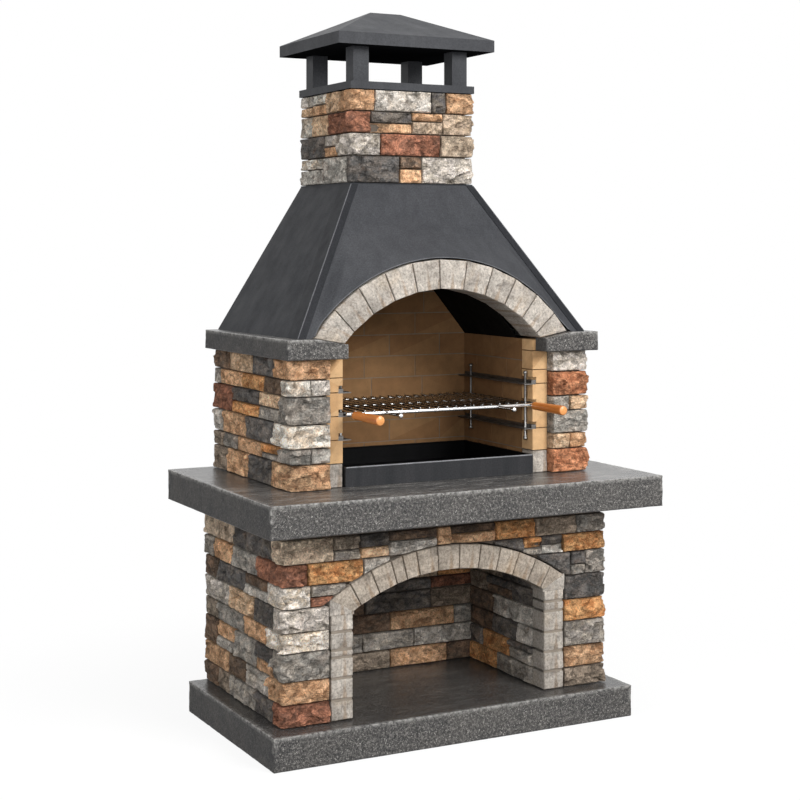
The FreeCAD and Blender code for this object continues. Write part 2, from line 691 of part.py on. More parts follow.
def make_upper_front(name, side, courses):
    """The corner stones, the pier's other front stones and the side wall of one half."""
    quoins = []
    side_stones = []
    heights = [course.height for course in courses]
    pier = UPPER_HALF - LINING_HALF
    depth = UPPER_BACK_FACE - UPPER_FRONT
    for (z0, z1), course in zip(fill(WORKTOP_TOP, MANTEL_BOTTOM, heights), courses):
        quoin_end = fill(0, pier, (course.quoin,) + course.front)[0][1]
        quoins.append(corner_stone(-side * UPPER_HALF, UPPER_FRONT, side, quoin_end, course.turn,
                                   QUOIN_BED, z0, z1))
        if course.front and side > 0:
            front_wall = Wall(-UPPER_HALF, UPPER_BED_FRONT, 1, 0)
            quoins += lay(front_wall, quoin_end, pier, z0, z1, course.front, QUOIN_BED)
        elif course.front:
            front_wall = Wall(LINING_HALF, UPPER_BED_FRONT, 1, 0)
            quoins += lay(front_wall, 0, pier - quoin_end, z0, z1, course.front, QUOIN_BED)
        turn = max(course.turn, QUOIN_BED)
        if side > 0:
            side_wall = Wall(-UPPER_HALF + VENEER, UPPER_BACK_FACE, 0, -1)
            side_stones += lay(side_wall, 0, depth - turn, z0, z1, course.side[::-1], VENEER)
        else:
            side_wall = Wall(UPPER_HALF - VENEER, UPPER_FRONT, 0, 1)
            side_stones += lay(side_wall, turn, depth, z0, z1, course.side, VENEER)
    nodes["upper_%s_quoins" % name] = quoins
    nodes["upper_%s_ledgestones" % name] = side_stones


def make_upper_facing():
    make_upper_front("left", 1, UPPER_LEFT)
    make_upper_front("right", -1, UPPER_RIGHT)
    outer = UPPER_HALF - VENEER
    back_wall = Wall(outer, UPPER_BACK_FACE - VENEER, -1, 0)
    nodes["upper_back_ledgestones"] = lay_wall(back_wall, 2 * outer, WORKTOP_TOP, MANTEL_BOTTOM,
                                               UPPER_BACK, VENEER)


def brick_courses(bottom, top):
    """Heights of the brick courses, with the last one cut to fit."""
    spans = []
    z0 = bottom
    while z0 < top - LEAST_STONE:
        spans.append((z0, min(z0 + FIREBRICK_COURSE, top)))
        z0 += FIREBRICK_COURSE
    return spans


def brick_row(start, end, shift):
    """Bricks of one course, laid from a shifted first joint, with cut bricks at both ends."""
    joints = [start]
    place = start + shift
    while place < end - LEAST_STONE:
        if place > start + LEAST_STONE:
            joints.append(place)
        place += FIREBRICK_LENGTH
    joints.append(end)
    return list(zip(joints, joints[1:]))


def make_firebrick_lining():
    """The lining of the fire space. The back wall rises on into the hood."""
    gap = FIREBRICK_JOINT / 2
    bottom = WORKTOP_TOP
    shifts = [share * FIREBRICK_LENGTH for share in BRICK_SHIFTS]
    back = []
    room = hood_space()
    for row, (z0, z1) in enumerate(brick_courses(bottom, BACK_WALL_TOP)):
        wide = z0 >= MANTEL_TOP
        half = UPPER_HALF if wide else FIRE_HALF
        for x0, x1 in brick_row(-half, half, shifts[row % len(shifts)]):
            brick = block(x0 + gap, x1 - gap, FIRE_BACK_FACE, LINING_BACK, z0 + gap, z1 - gap)
            if wide:
                brick = brick.common(room)
            if brick.Volume > LEAST_STONE ** 3:
                back += brick.Solids
    nodes["firebrick_back_wall"] = back
    front = JAMB_FRONT + JAMB_DEPTH
    for name, side in (("left", -1), ("right", 1)):
        wall = []
        x0, x1 = sorted((side * FIRE_HALF, side * LINING_HALF))
        for row, (z0, z1) in enumerate(brick_courses(bottom, LINING_TOP)):
            for y0, y1 in brick_row(front, LINING_BACK, shifts[row % len(shifts)]):
                wall.append(block(x0, x1, y0 + gap, y1 - gap, z0 + gap, z1 - gap))
        nodes["firebrick_%s_wall" % name] = wall


def make_fire_jambs():
    """Firebrick stacks beside the fire, notched for the grill rails, each on a limestone base block."""
    gap = FIREBRICK_JOINT / 2
    back = JAMB_FRONT + JAMB_DEPTH
    base_top = WORKTOP_TOP + FIREBRICK_COURSE
    bases = []
    for name, side in (("left", -1), ("right", 1)):
        x0, x1 = sorted((side * FIRE_HALF, side * LINING_HALF))
        n0, n1 = sorted((side * FIRE_HALF, side * (FIRE_HALF + NOTCH_DEPTH)))
        bases.append(block(x0, x1, JAMB_FRONT, back - gap, WORKTOP_TOP, base_top - gap))
        blocks = []
        for z0, z1 in fill(base_top, LINING_TOP, FIRE_JAMB_BLOCKS):
            blocks.append(block(x0, x1, JAMB_FRONT, back - gap, z0 + gap, z1 - gap))
        for level in RAIL_LEVELS:
            foot = level - RAIL_SHEET
            notch = block(n0, n1, JAMB_FRONT, back, foot, foot + NOTCH_HEIGHT)
            blocks = [stone.cut(notch) for stone in blocks]
        nodes["firebrick_%s_jamb" % name] = [solid for stone in blocks for solid in stone.Solids]
    nodes["jamb_base_blocks"] = bases


# Mantel, fire arch and hood

def make_mantel():
    """Three granite slabs on the upper walls. Those at the sides are cut for the arch's feet and the lining."""
    half = MANTEL_HALF
    inner = MANTEL_INNER
    for name, side in (("left", -1), ("right", 1)):
        x0, x1 = sorted((side * inner, side * half))
        slab = eased_slab(block(x0, x1, MANTEL_FRONT, MANTEL_BACK, MANTEL_BOTTOM, MANTEL_TOP), SLAB_EDGE)
        above = MANTEL_TOP + FIRE_ARCH_DROP
        seat = profile([point(side * FIRE_ARCH.spring_x, MANTEL_FRONT, FIRE_ARCH.spring_z),
                        point(side * FIRE_ARCH.skew_x, MANTEL_FRONT, FIRE_ARCH.skew_z),
                        point(side * FIRE_ARCH.skew_x, MANTEL_FRONT, above),
                        point(side * FIRE_ARCH.spring_x, MANTEL_FRONT, above)])
        slab = slab.cut(seat.extrude(point(0, ARCH_BACK - MANTEL_FRONT, 0)))
        n0, n1 = sorted((side * inner, side * (LINING_HALF + CLEARANCE)))
        notch = block(n0, n1, JAMB_FRONT - CLEARANCE, LINING_BACK + CLEARANCE, MANTEL_BOTTOM, MANTEL_TOP)
        nodes["mantel_%s_slab" % name] = [slab.cut(notch)]
    back = block(-inner, inner, UPPER_BACK_FACE - VENEER, MANTEL_BACK, MANTEL_BOTTOM, MANTEL_TOP)
    nodes["mantel_back_slab"] = [back]


def hood_corners(inset, z):
    """Corners of the hood's outline at a height, moved square to its panels by an inset."""
    share = (z - MANTEL_TOP) / HOOD_HEIGHT
    side_lean = math.hypot(HOOD_HALF - CHIMNEY_HALF, HOOD_HEIGHT) / HOOD_HEIGHT
    front_lean = math.hypot(CHIMNEY_FRONT - HOOD_FRONT, HOOD_HEIGHT) / HOOD_HEIGHT
    half = HOOD_HALF + (CHIMNEY_HALF - HOOD_HALF) * share - inset * side_lean
    front = HOOD_FRONT + (CHIMNEY_FRONT - HOOD_FRONT) * share + inset * front_lean
    back_lean = math.hypot(CHIMNEY_BACK - HOOD_BACK, HOOD_HEIGHT) / HOOD_HEIGHT
    back = HOOD_BACK + (CHIMNEY_BACK - HOOD_BACK) * share - inset * back_lean
    return [point(-half, front, z), point(half, front, z), point(half, back, z), point(-half, back, z)]


def hood_space():
    """The room inside the hood, kept clear of its panels."""
    inset = HOOD_PLATE + HOOD_LINING_CLEARANCE
    return prism(hood_corners(inset, MANTEL_TOP), hood_corners(inset, HOOD_TOP))


def make_fire_arch():
    nodes["fire_arch_stones"] = arch_stones(FIRE_ARCH, FIRE_ARCH_STONES, ARCH_FRONT, FIRE_ARCH_DEPTH)


def make_baffles():
    """Two sloping sheets that lead smoke to the flue, each hung by a flange on a side lining."""
    foot = LINING_TOP - FIREBRICK_JOINT / 2 + CLEARANCE
    top = foot + BAFFLE_HEIGHT
    top_x = FIRE_HALF - BAFFLE_LEAN * BAFFLE_HEIGHT
    across = BAFFLE_SHEET * math.hypot(1, BAFFLE_LEAN)
    bend_x = FIRE_HALF + across - BAFFLE_LEAN * BAFFLE_SHEET
    front = ARCH_BACK + BAFFLE_FRONT_GAP
    depth = FIRE_BACK_FACE - CLEARANCE - front
    section = [(LINING_HALF, foot), (FIRE_HALF, foot), (top_x, top), (top_x + across, top),
               (bend_x, foot + BAFFLE_SHEET), (LINING_HALF, foot + BAFFLE_SHEET)]
    sheets = []
    for side in (-1, 1):
        outline = profile([point(side * x, front, z) for x, z in section])
        sheets.append(outline.extrude(point(0, depth, 0)))
    nodes["smoke_baffles"] = sheets


def make_hood():
    """Four mitred steel panels with corner strips, an eyebrow flashing over the arch and a top plate."""
    outer_low = hood_corners(0, MANTEL_TOP)
    outer_high = hood_corners(0, HOOD_TOP)
    inner_low = hood_corners(HOOD_PLATE, MANTEL_TOP)
    inner_high = hood_corners(HOOD_PLATE, HOOD_TOP)
    panels = []
    for index in range(4):
        after = (index + 1) % 4
        bottom = [outer_low[index], outer_low[after], inner_low[after], inner_low[index]]
        top = [outer_high[index], outer_high[after], inner_high[after], inner_high[index]]
        panels.append(prism(bottom, top))
    flashing_inner = FIRE_ARCH.outer + FLASHING_CLEARANCE
    opening = disc(FIRE_ARCH, flashing_inner, MANTEL_FRONT, CHIMNEY_BACK)
    nodes["hood_front_panel"] = [panels[0].cut(opening)]
    nodes["hood_right_panel"] = [panels[1]]
    nodes["hood_back_panel"] = [panels[2]]
    nodes["hood_left_panel"] = [panels[3]]
    tube = disc(FIRE_ARCH, flashing_inner + FLASHING_THICKNESS, ARCH_FRONT, CHIMNEY_FRONT).cut(opening)
    above = block(-MANTEL_HALF, MANTEL_HALF, ARCH_FRONT, CHIMNEY_FRONT, MANTEL_TOP, HOOD_TOP)
    nodes["hood_arch_flashing"] = [tube.common(above).cut(prism(outer_low, outer_high))]
    strips = []
    for corner, side in ((0, 1), (1, -1)):
        sections = []
        for z in (MANTEL_TOP, HOOD_TOP):
            skin = hood_corners(0, z)[corner]
            cover = hood_corners(-HOOD_STRIP_THICKNESS, z)[corner]
            front_end = skin.x + side * HOOD_STRIP_FRONT_LEG
            side_end = skin.y + HOOD_STRIP_SIDE_LEG
            sections.append([cover, point(front_end, cover.y, z), point(front_end, skin.y, z), skin,
                             point(skin.x, side_end, z), point(cover.x, side_end, z)])
        strips.append(prism(*sections))
    nodes["hood_corner_strips"] = strips
    plate = block(-CHIMNEY_HALF, CHIMNEY_HALF, CHIMNEY_FRONT, CHIMNEY_BACK, HOOD_TOP, CHIMNEY_BOTTOM)
    nodes["hood_top_plate"] = [plate.cut(flue(HOOD_TOP, CHIMNEY_BOTTOM))]


# Chimney and rain cap

def flue(z0, z1):
    wall = VENEER + FLUE_WALL
    return block(-CHIMNEY_HALF + wall, CHIMNEY_HALF - wall, CHIMNEY_FRONT + wall, CHIMNEY_BACK - wall, z0, z1)


def make_chimney():
    """Hollow flue block, faced with stone on its four sides."""
    core = block(-CHIMNEY_HALF + VENEER, CHIMNEY_HALF - VENEER, CHIMNEY_FRONT + VENEER,
                 CHIMNEY_BACK - VENEER, CHIMNEY_BOTTOM, CHIMNEY_TOP)
    nodes["flue_block"] = [core.cut(flue(CHIMNEY_BOTTOM, CHIMNEY_TOP))]
    front = []
    left = []
    right = []
    back = []
    heights = [course.height for course in CHIMNEY]
    front_wall = Wall(-CHIMNEY_HALF, CHIMNEY_FRONT + VENEER, 1, 0)
    left_wall = Wall(-CHIMNEY_HALF + VENEER, CHIMNEY_BACK, 0, -1)
    right_wall = Wall(CHIMNEY_HALF - VENEER, CHIMNEY_FRONT, 0, 1)
    back_wall = Wall(CHIMNEY_HALF - VENEER, CHIMNEY_BACK - VENEER, -1, 0)
    for (z0, z1), course in zip(fill(CHIMNEY_BOTTOM, CHIMNEY_TOP, heights), CHIMNEY):
        lengths = [part.length if isinstance(part, Pair) else part for part in course.front]
        spans = fill(0, CHIMNEY_WIDTH, [course.left] + lengths + [course.right])
        left_end = spans[0][1]
        right_start = spans[-1][0]
        front.append(corner_stone(-CHIMNEY_HALF, CHIMNEY_FRONT, 1, left_end,
                                  course.left_turn, VENEER, z0, z1))
        front.append(corner_stone(CHIMNEY_HALF, CHIMNEY_FRONT, -1, CHIMNEY_WIDTH - right_start,
                                  course.right_turn, VENEER, z0, z1))
        front += lay(front_wall, left_end, right_start, z0, z1, course.front, VENEER)
        left_turn = max(course.left_turn, VENEER)
        right_turn = max(course.right_turn, VENEER)
        left += lay(left_wall, 0, CHIMNEY_DEPTH - left_turn, z0, z1, course.side[::-1], VENEER)
        right += lay(right_wall, right_turn, CHIMNEY_DEPTH, z0, z1, course.side[::-1], VENEER)
        back += lay(back_wall, 0, CHIMNEY_WIDTH - 2 * VENEER, z0, z1, course.back, VENEER)
    nodes["chimney_front_stones"] = front
    nodes["chimney_left_stones"] = left
    nodes["chimney_right_stones"] = right
    nodes["chimney_back_stones"] = back


def make_cap():
    """Steel collar on the chimney, four posts and a hipped roof over them."""
    half = CHIMNEY_HALF + COLLAR_OVERHANG
    front = CHIMNEY_FRONT - COLLAR_OVERHANG
    back = CHIMNEY_BACK + COLLAR_OVERHANG
    collar = block(-half, half, front, back, CHIMNEY_TOP, COLLAR_TOP).cut(flue(CHIMNEY_TOP, COLLAR_TOP))
    nodes["cap_collar"] = [collar]
    posts = []
    for x0 in (-half + POST_INSET, half - POST_INSET - POST_SIZE):
        for y0 in (front + POST_INSET, back - POST_INSET - POST_SIZE):
            posts.append(block(x0, x0 + POST_SIZE, y0, y0 + POST_SIZE, COLLAR_TOP, POST_TOP))
    nodes["cap_posts"] = posts
    half = CHIMNEY_HALF + ROOF_OVERHANG_X
    front = CHIMNEY_FRONT - ROOF_OVERHANG_Y
    back = CHIMNEY_BACK + ROOF_OVERHANG_Y
    eave = POST_TOP + ROOF_FASCIA
    fascia = block(-half, half, front, back, POST_TOP, eave)
    corners = [point(-half, front, eave), point(half, front, eave),
               point(half, back, eave), point(-half, back, eave)]
    left_end = point(-ROOF_RIDGE / 2, CHIMNEY_MIDDLE, eave + ROOF_RISE)
    right_end = point(ROOF_RIDGE / 2, CHIMNEY_MIDDLE, eave + ROOF_RISE)
    hips = closed([profile(corners),
                   profile([corners[0], corners[1], right_end, left_end]),
                   profile([corners[1], corners[2], right_end]),
                   profile([corners[2], corners[3], left_end, right_end]),
                   profile([corners[3], corners[0], left_end])])
    nodes["cap_roof"] = [fused([fascia, hips])]


# Grill rails

def rod_places():
    """Where the upright rods stand beside the side walls, for the right-hand side."""
    x = FIRE_HALF - ROD_WALL_GAP - ROD_DIAMETER / 2
    return [(x, JAMB_FRONT + ROD_FRONT_INSET), (x, FIRE_BACK_FACE - ROD_BACK_INSET)]


def make_rails():
    """Three angle rails on each side wall, hooked into the jambs and tied by upright rods."""
    hole = ROD_DIAMETER / 2
    rail_front = JAMB_FRONT + RAIL_FRONT_GAP
    rail_back = FIRE_BACK_FACE - RAIL_BACK_GAP
    lug_back = rail_front + RAIL_LUG_LENGTH
    for name, side in (("left", -1), ("right", 1)):
        rails = []
        wall = FIRE_HALF * side
        ledge_x = sorted((wall, wall - side * RAIL_LEDGE))
        leg_x = sorted((wall, wall - side * RAIL_SHEET))
        lug_x = sorted((wall, wall + side * (NOTCH_DEPTH - CLEARANCE)))
        for level in RAIL_LEVELS:
            bottom = level - RAIL_SHEET
            leg_top = bottom + RAIL_LEG
            rail = fused([block(ledge_x[0], ledge_x[1], rail_front, rail_back, bottom, level),
                          block(leg_x[0], leg_x[1], rail_front, rail_back, bottom, leg_top),
                          block(lug_x[0], lug_x[1], rail_front, lug_back, bottom, leg_top)])
            for x, y in rod_places():
                centre = side * x
                rail = rail.cut(block(centre - hole, centre + hole, y - hole, y + hole, bottom, level))
            rails.append(rail)
        nodes["grill_rails_%s" % name] = rails
    rods = []
    foot = RAIL_LEVELS[0] - ROD_REACH
    length = RAIL_LEVELS[-1] + ROD_REACH - foot
    steps = knob_steps(0, ROD_KNOB_LENGTH, ROD_KNOB_DIAMETER, ROD_DIAMETER)
    steps += knob_steps(length - ROD_KNOB_LENGTH, ROD_KNOB_LENGTH, ROD_KNOB_DIAMETER, ROD_DIAMETER)
    for side in (-1, 1):
        for x, y in rod_places():
            rods.append(turned(point(side * x, y, foot), point(0, 0, 1), steps, ROD_SIDES))
    nodes["rail_tie_rods"] = rods


# Cooking grill

def make_grill():
    """Welded frame with wires laid across it, two prongs, and two wooden handles on shanks."""
    front = GRILL_FRONT
    back = FIRE_BACK_FACE - GRILL_BACK_GAP
    rod_inside = FIRE_HALF - ROD_WALL_GAP - ROD_DIAMETER
    side_x = rod_inside - GRILL_ROD_GAP - GRILL_SIDE_BAR / 2
    front_x = FIRE_HALF - GRILL_FRONT_BAR_SIDE_GAP
    z = GRILL_LEVEL
    bars = [bar(point(-front_x, front, z), point(front_x, front, z), GRILL_FRONT_BAR, BAR_SIDES)]
    for side in (-1, 1):
        side_front = point(side * side_x, front, z)
        side_back = point(side * side_x, back, z)
        bars.append(bar(side_front, side_back, GRILL_SIDE_BAR, BAR_SIDES))
    cross_z = z + GRILL_FRONT_BAR / 2 - GRILL_CROSS_BAR / 2
    for index in range(GRILL_CROSS_BARS):
        y = front + (back - front) * (index + 1) / GRILL_CROSS_BARS
        bars.append(bar(point(-side_x, y, cross_z), point(side_x, y, cross_z), GRILL_CROSS_BAR, WIRE_SIDES))
    bar_front = front - GRILL_FRONT_BAR / 2
    forward = point(0, -1, 0)
    prong_steps = [(0, PRONG_DIAMETER)]
    prong_steps += knob_steps(front - bar_front + PRONG_LENGTH, PRONG_BALL, PRONG_BALL, PRONG_DIAMETER)
    for name, side in (("left", -1), ("right", 1)):
        bars.append(turned(point(side * PRONG_SPREAD / 2, front, z), forward, prong_steps, BAR_SIDES))
        shank_x = side * (front_x - SHANK_INSET - SHANK_DIAMETER / 2)
        grip = point(shank_x, bar_front - SHANK_LENGTH, z)
        bars.append(bar(point(shank_x, front, z), grip + forward * SHANK_TANG, SHANK_DIAMETER, BAR_SIDES))
        nodes["grill_%s_handle" % name] = [turned_handle(grip, forward)]
    nodes["grill_frame"] = [fused(bars)]
    wires = []
    wire_z = z + GRILL_FRONT_BAR / 2 + GRILL_WIRE / 2
    wire_front = front - GRILL_WIRE_END
    wire_back = back + GRILL_WIRE_END
    count = int((2 * side_x - GRILL_SIDE_BAR) // GRILL_WIRE_PITCH) + 1
    for index in range(count):
        x = (index - (count - 1) / 2) * GRILL_WIRE_PITCH
        wires.append(bar(point(x, wire_front, wire_z), point(x, wire_back, wire_z), GRILL_WIRE, WIRE_SIDES))
    nodes["grill_wires"] = wires


def turned_handle(grip, forward):
    """A turned wooden grip that widens to its end, with a blind bore for its shank."""
    ease = HANDLE_ROUNDING
    steps = [(0, HANDLE_NECK - 2 * ease), (ease, HANDLE_NECK),
             (HANDLE_LENGTH - ease, HANDLE_DIAMETER), (HANDLE_LENGTH, HANDLE_DIAMETER - 2 * ease)]
    body = turned(grip, forward, steps, HANDLE_SIDES)
    bore = bar(grip, grip + forward * SHANK_TANG, SHANK_DIAMETER + 2 * CLEARANCE, BAR_SIDES)
    return body.cut(bore)


# Fire tray

def make_tray():
    """An open sheet-steel tray with a folded rim, sitting on the worktop between the jambs."""
    half = FIRE_HALF - TRAY_SIDE_GAP
    front = JAMB_FRONT - TRAY_FRONT_STEP
    back = FIRE_BACK_FACE - TRAY_BACK_GAP
    bottom = WORKTOP_TOP + CLEARANCE
    top = bottom + TRAY_HEIGHT
    outside = block(-half, half, front, back, bottom, top)
    rim = TRAY_RIM
    sheet = TRAY_SHEET
    inside = block(-half + sheet, half - sheet, front + sheet, back - sheet, bottom + sheet, top - sheet)
    mouth = block(-half + rim, half - rim, front + rim, back - rim, top - sheet, top)
    nodes["fire_tray"] = [outside.cut(inside).cut(mouth)]


def export():
    os.makedirs("parts", exist_ok=True)
    for name, solids in nodes.items():
        shape = solids[0] if len(solids) == 1 else Part.makeCompound(solids)
        shape.exportStep("parts/%s.step" % name)


make_slabs()
make_lower_cores()
make_lower_facing()
make_store_arch()
make_upper_cores()
make_upper_facing()
make_firebrick_lining()
make_fire_jambs()
make_mantel()
make_fire_arch()
make_baffles()
make_hood()
make_chimney()
make_cap()
make_rails()
make_grill()
make_tray()
export()
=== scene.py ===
import math
import random
from collections import namedtuple

import bmesh
import bpy
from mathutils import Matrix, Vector, noise


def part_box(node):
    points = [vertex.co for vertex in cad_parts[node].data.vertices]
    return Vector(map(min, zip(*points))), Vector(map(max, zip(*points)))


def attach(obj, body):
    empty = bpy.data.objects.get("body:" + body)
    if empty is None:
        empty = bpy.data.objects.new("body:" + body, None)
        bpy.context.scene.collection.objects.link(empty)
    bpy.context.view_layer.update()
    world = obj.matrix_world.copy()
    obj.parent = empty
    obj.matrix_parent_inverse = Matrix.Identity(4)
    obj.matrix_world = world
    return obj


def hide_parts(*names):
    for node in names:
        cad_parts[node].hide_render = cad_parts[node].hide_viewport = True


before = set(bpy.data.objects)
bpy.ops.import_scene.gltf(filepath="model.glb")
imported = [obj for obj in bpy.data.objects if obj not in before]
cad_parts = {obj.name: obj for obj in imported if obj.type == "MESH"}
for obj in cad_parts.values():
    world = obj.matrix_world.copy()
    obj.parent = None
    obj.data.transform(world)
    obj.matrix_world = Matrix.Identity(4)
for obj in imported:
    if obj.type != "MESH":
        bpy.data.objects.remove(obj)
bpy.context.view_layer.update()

# Camera of the photograph, in the frame's metres
CAMERA_PLACE = (-2.470, -4.665, 1.530)
CAMERA_TURN = math.radians(-27.47)
CAMERA_LENS = 73.28
CAMERA_SENSOR = 36.0
CAMERA_SHIFT_Y = -0.1959

# Ways that a wall looks, seen from above
LEFT = (-1, 0)
RIGHT = (1, 0)
FRONT = (0, -1)
BACK = (0, 1)

ACROSS = Vector((1, 0, 0))
BACKWARD = Vector((0, 1, 0))
UP = Vector((0, 0, 1))

# Facing stones
VENEER = 0.038
QUOIN_BED = 0.070
STONE_GROWTH = 0.0014
COURSE_SLACK = 0.006
SAME_PLACE = 0.001
CORNER_ROUNDING = 0.009
CORNER_INSET = 0.29
CORNER_INSET_DEPTH = 0.02
# Grid lines near an edge, and how many times their reach a stone needs to have them at full size
EDGE_STEPS = (0.0, 0.0012, 0.0029, 0.0056)
EDGE_ROOM = 2.4
FEWEST_FACETS = 3
FACET_STRETCH = 1.6
FACET_BLEND = 0.0022
# Shares: of the relief by which a face may stand back, and of a stone's size that is rounded at most
LEAST_PROUD = -0.4
LARGEST_ROUNDING = 0.38
SEED_REACH = 50
WAVE_SCALE = 28
ROUGH_SCALE = 3.2
ROUGH_FRACTAL = (0.8, 2.1, 4)
# What is left of the relief, and of its painted light and shade, at the rounded edge
EDGE_RELIEF = 0.25
EDGE_PAINTED_LIGHT = 0.55
EDGE_PAINTED_LIGHT_GAIN = 2.2
SKIRT_SHARES = (0.3, 1.0)
# Painted shade on the sides of a stone, down in its joints
SKIRT_PAINTED_SHADE = 0.15
RELIEF_RANGE = 4
SHADES = (0.82, 1.18)
WARMTHS = (0.97, 1.03)
PALE_SHADES = (0.88, 1.08)

# Arch of the wood store, where the stones over it are cut, and centre of the fire arch
STORE_CENTRE_Z = -0.1180
STORE_OUTER = 0.7175
STORE_SKEW_X = 0.415
STORE_SKEW_Z = 0.464
FIRE_CENTRE_Z = 0.9322

# The CAD's chamfer on pale stones, and half the joint between them
CAD_STONE_EASE = 0.005
PALE_JOINT_HALF = 0.0012

# Seat of the fire arch on the mantel
SEAT_INNER_X = 0.348
SEAT_OUTER_X = 0.4528
SEAT_INNER_Z = 1.225
SEAT_OUTER_Z = 1.244
SEAT_BACK_Y = -0.104

# Notch in each mantel slab for the firebrick lining
NOTCH_X = 0.3953
NOTCH_FRONT = -0.1903
NOTCH_BACK = 0.3083

# Where the back of the tray's front sheet lies, behind which the tray gets painted shade
TRAY_INSIDE_Y = -0.184
TRAY_SHADE_BLEND = 0.001

# A kind of stone: its main colour and the colour of its patches, as eight-bit screen values
KINDS = {
    "dark": ((94, 91, 89), (116, 108, 100)),
    "grey": ((146, 141, 134), (172, 162, 150)),
    "light": ((204, 197, 188), (178, 168, 156)),
    "cream": ((228, 221, 210), (208, 190, 168)),
    "beige": ((208, 187, 164), (182, 160, 137)),
    "tan": ((214, 174, 137), (188, 144, 108)),
    "orange": ((212, 162, 112), (186, 126, 78)),
    "russet": ((200, 142, 106), (172, 112, 80)),
    "rust": ((164, 112, 88), (124, 88, 72)),
    "brown": ((124, 102, 84), (98, 85, 74)),
    "ash": ((156, 141, 125), (130, 117, 103)),
    "peach": ((222, 192, 160), (196, 160, 126)),
}
ANY_KIND = "dark dark grey grey light cream beige tan orange rust brown ash".split()


def linear(value):
    share = value / 255
    return share / 12.92 if share <= 0.04045 else ((share + 0.055) / 1.055) ** 2.4


def screen(red, green, blue):
    """A colour for the shader from eight-bit screen values."""
    return (linear(red), linear(green), linear(blue), 1.0)


def grey(value):
    return (value, value, value, 1.0)


# Node materials

# Places of the colour sockets on a mix node
COLOUR_A = 6
COLOUR_B = 7
COLOUR_RESULT = 2


def feed(tree, socket, value):
    """Joins an output, or a node by its first output, to a socket, or sets the socket's own value."""
    if isinstance(value, bpy.types.Node):
        value = value.outputs[0]
    if isinstance(value, bpy.types.NodeSocket):
        tree.links.new(value, socket)
    else:
        socket.default_value = value


def add_node(tree, kind, *places, **names):
    """A new node with its sockets fed by their places or by their names, where _ is a space."""
    node = tree.nodes.new(kind)
    for socket, value in zip(node.inputs, places):
        feed(tree, socket, value)
    for name, value in names.items():
        feed(tree, node.inputs[name.replace("_", " ")], value)
    return node


class Shader:
    """A node material whose paint is built up in layers, with short ways to add and join nodes."""

    def __init__(self, name, roughness, metallic=0.0, **sockets):
        self.material = bpy.data.materials.new(name)
        self.material.use_nodes = True
        self.tree = self.material.node_tree
        self.surface(Roughness=roughness, Metallic=metallic, **sockets)
        self.coordinates = self.node("ShaderNodeTexCoord").outputs["Object"]
        self.paint = None

    def node(self, kind, *places, **names):
        return add_node(self.tree, kind, *places, **names)

    def surface(self, **sockets):
        """Feeds sockets of the surface shader."""
        inputs = self.tree.nodes["Principled BSDF"].inputs
        for name, value in sockets.items():
            feed(self.tree, inputs[name.replace("_", " ")], value)

    def noise(self, scale, detail=4.0, roughness=0.55, stretch=(1, 1, 1), distortion=0.0, vector=None):
        place = self.node("ShaderNodeMapping", Vector=vector or self.coordinates, Scale=stretch)
        return self.node("ShaderNodeTexNoise", Vector=place, Scale=scale, Detail=detail,
                         Roughness=roughness, Distortion=distortion)

    def band(self, value, low, high, low_out=0.0, high_out=1.0):
        """Maps a value's range to another one, held at both ends."""
        return self.node("ShaderNodeMapRange", value, low, high, low_out, high_out)

    def math(self, operation, first, second=0.0):
        node = self.node("ShaderNodeMath", first, second)
        node.operation = operation
        return node

    def times(self, *values):
        """The product of some values."""
        product = values[0]
        for value in values[1:]:
            product = self.math("MULTIPLY", product, value)
        return product

    def mix(self, share, first, second, blend="MIX"):
        node = self.node("ShaderNodeMix")
        node.data_type = "RGBA"
        node.blend_type = blend
        for place, value in ((0, share), (COLOUR_A, first), (COLOUR_B, second)):
            feed(self.tree, node.inputs[place], value)
        return node.outputs[COLOUR_RESULT]

    def attribute(self, name, output="Color"):
        node = self.node("ShaderNodeAttribute")
        node.attribute_name = name
        return node.outputs[output]

    def part(self, vector, axis):
        return self.node("ShaderNodeSeparateXYZ", vector).outputs[axis]

    def geometry(self, output):
        return self.node("ShaderNodeNewGeometry").outputs[output]

    def cover(self, share, colour):
        """Lays a share of a colour over the paint."""
        self.paint = self.mix(share, self.paint, colour)

    def stain(self, colour):
        """Multiplies the paint by a colour."""
        self.paint = self.mix(1.0, self.paint, colour, "MULTIPLY")

    def shade(self, value):
        """Multiplies the paint by a grey."""
        self.stain(self.node("ShaderNodeCombineColor", value, value, value))

    def finish(self, height, strength, distance, **sockets):
        """Joins the paint, a bump and any other sockets to the surface."""
        bump = self.node("ShaderNodeBump", Height=height, Strength=strength, Distance=distance)
        self.surface(Base_Color=self.paint, Normal=bump, **sockets)
        return self.material


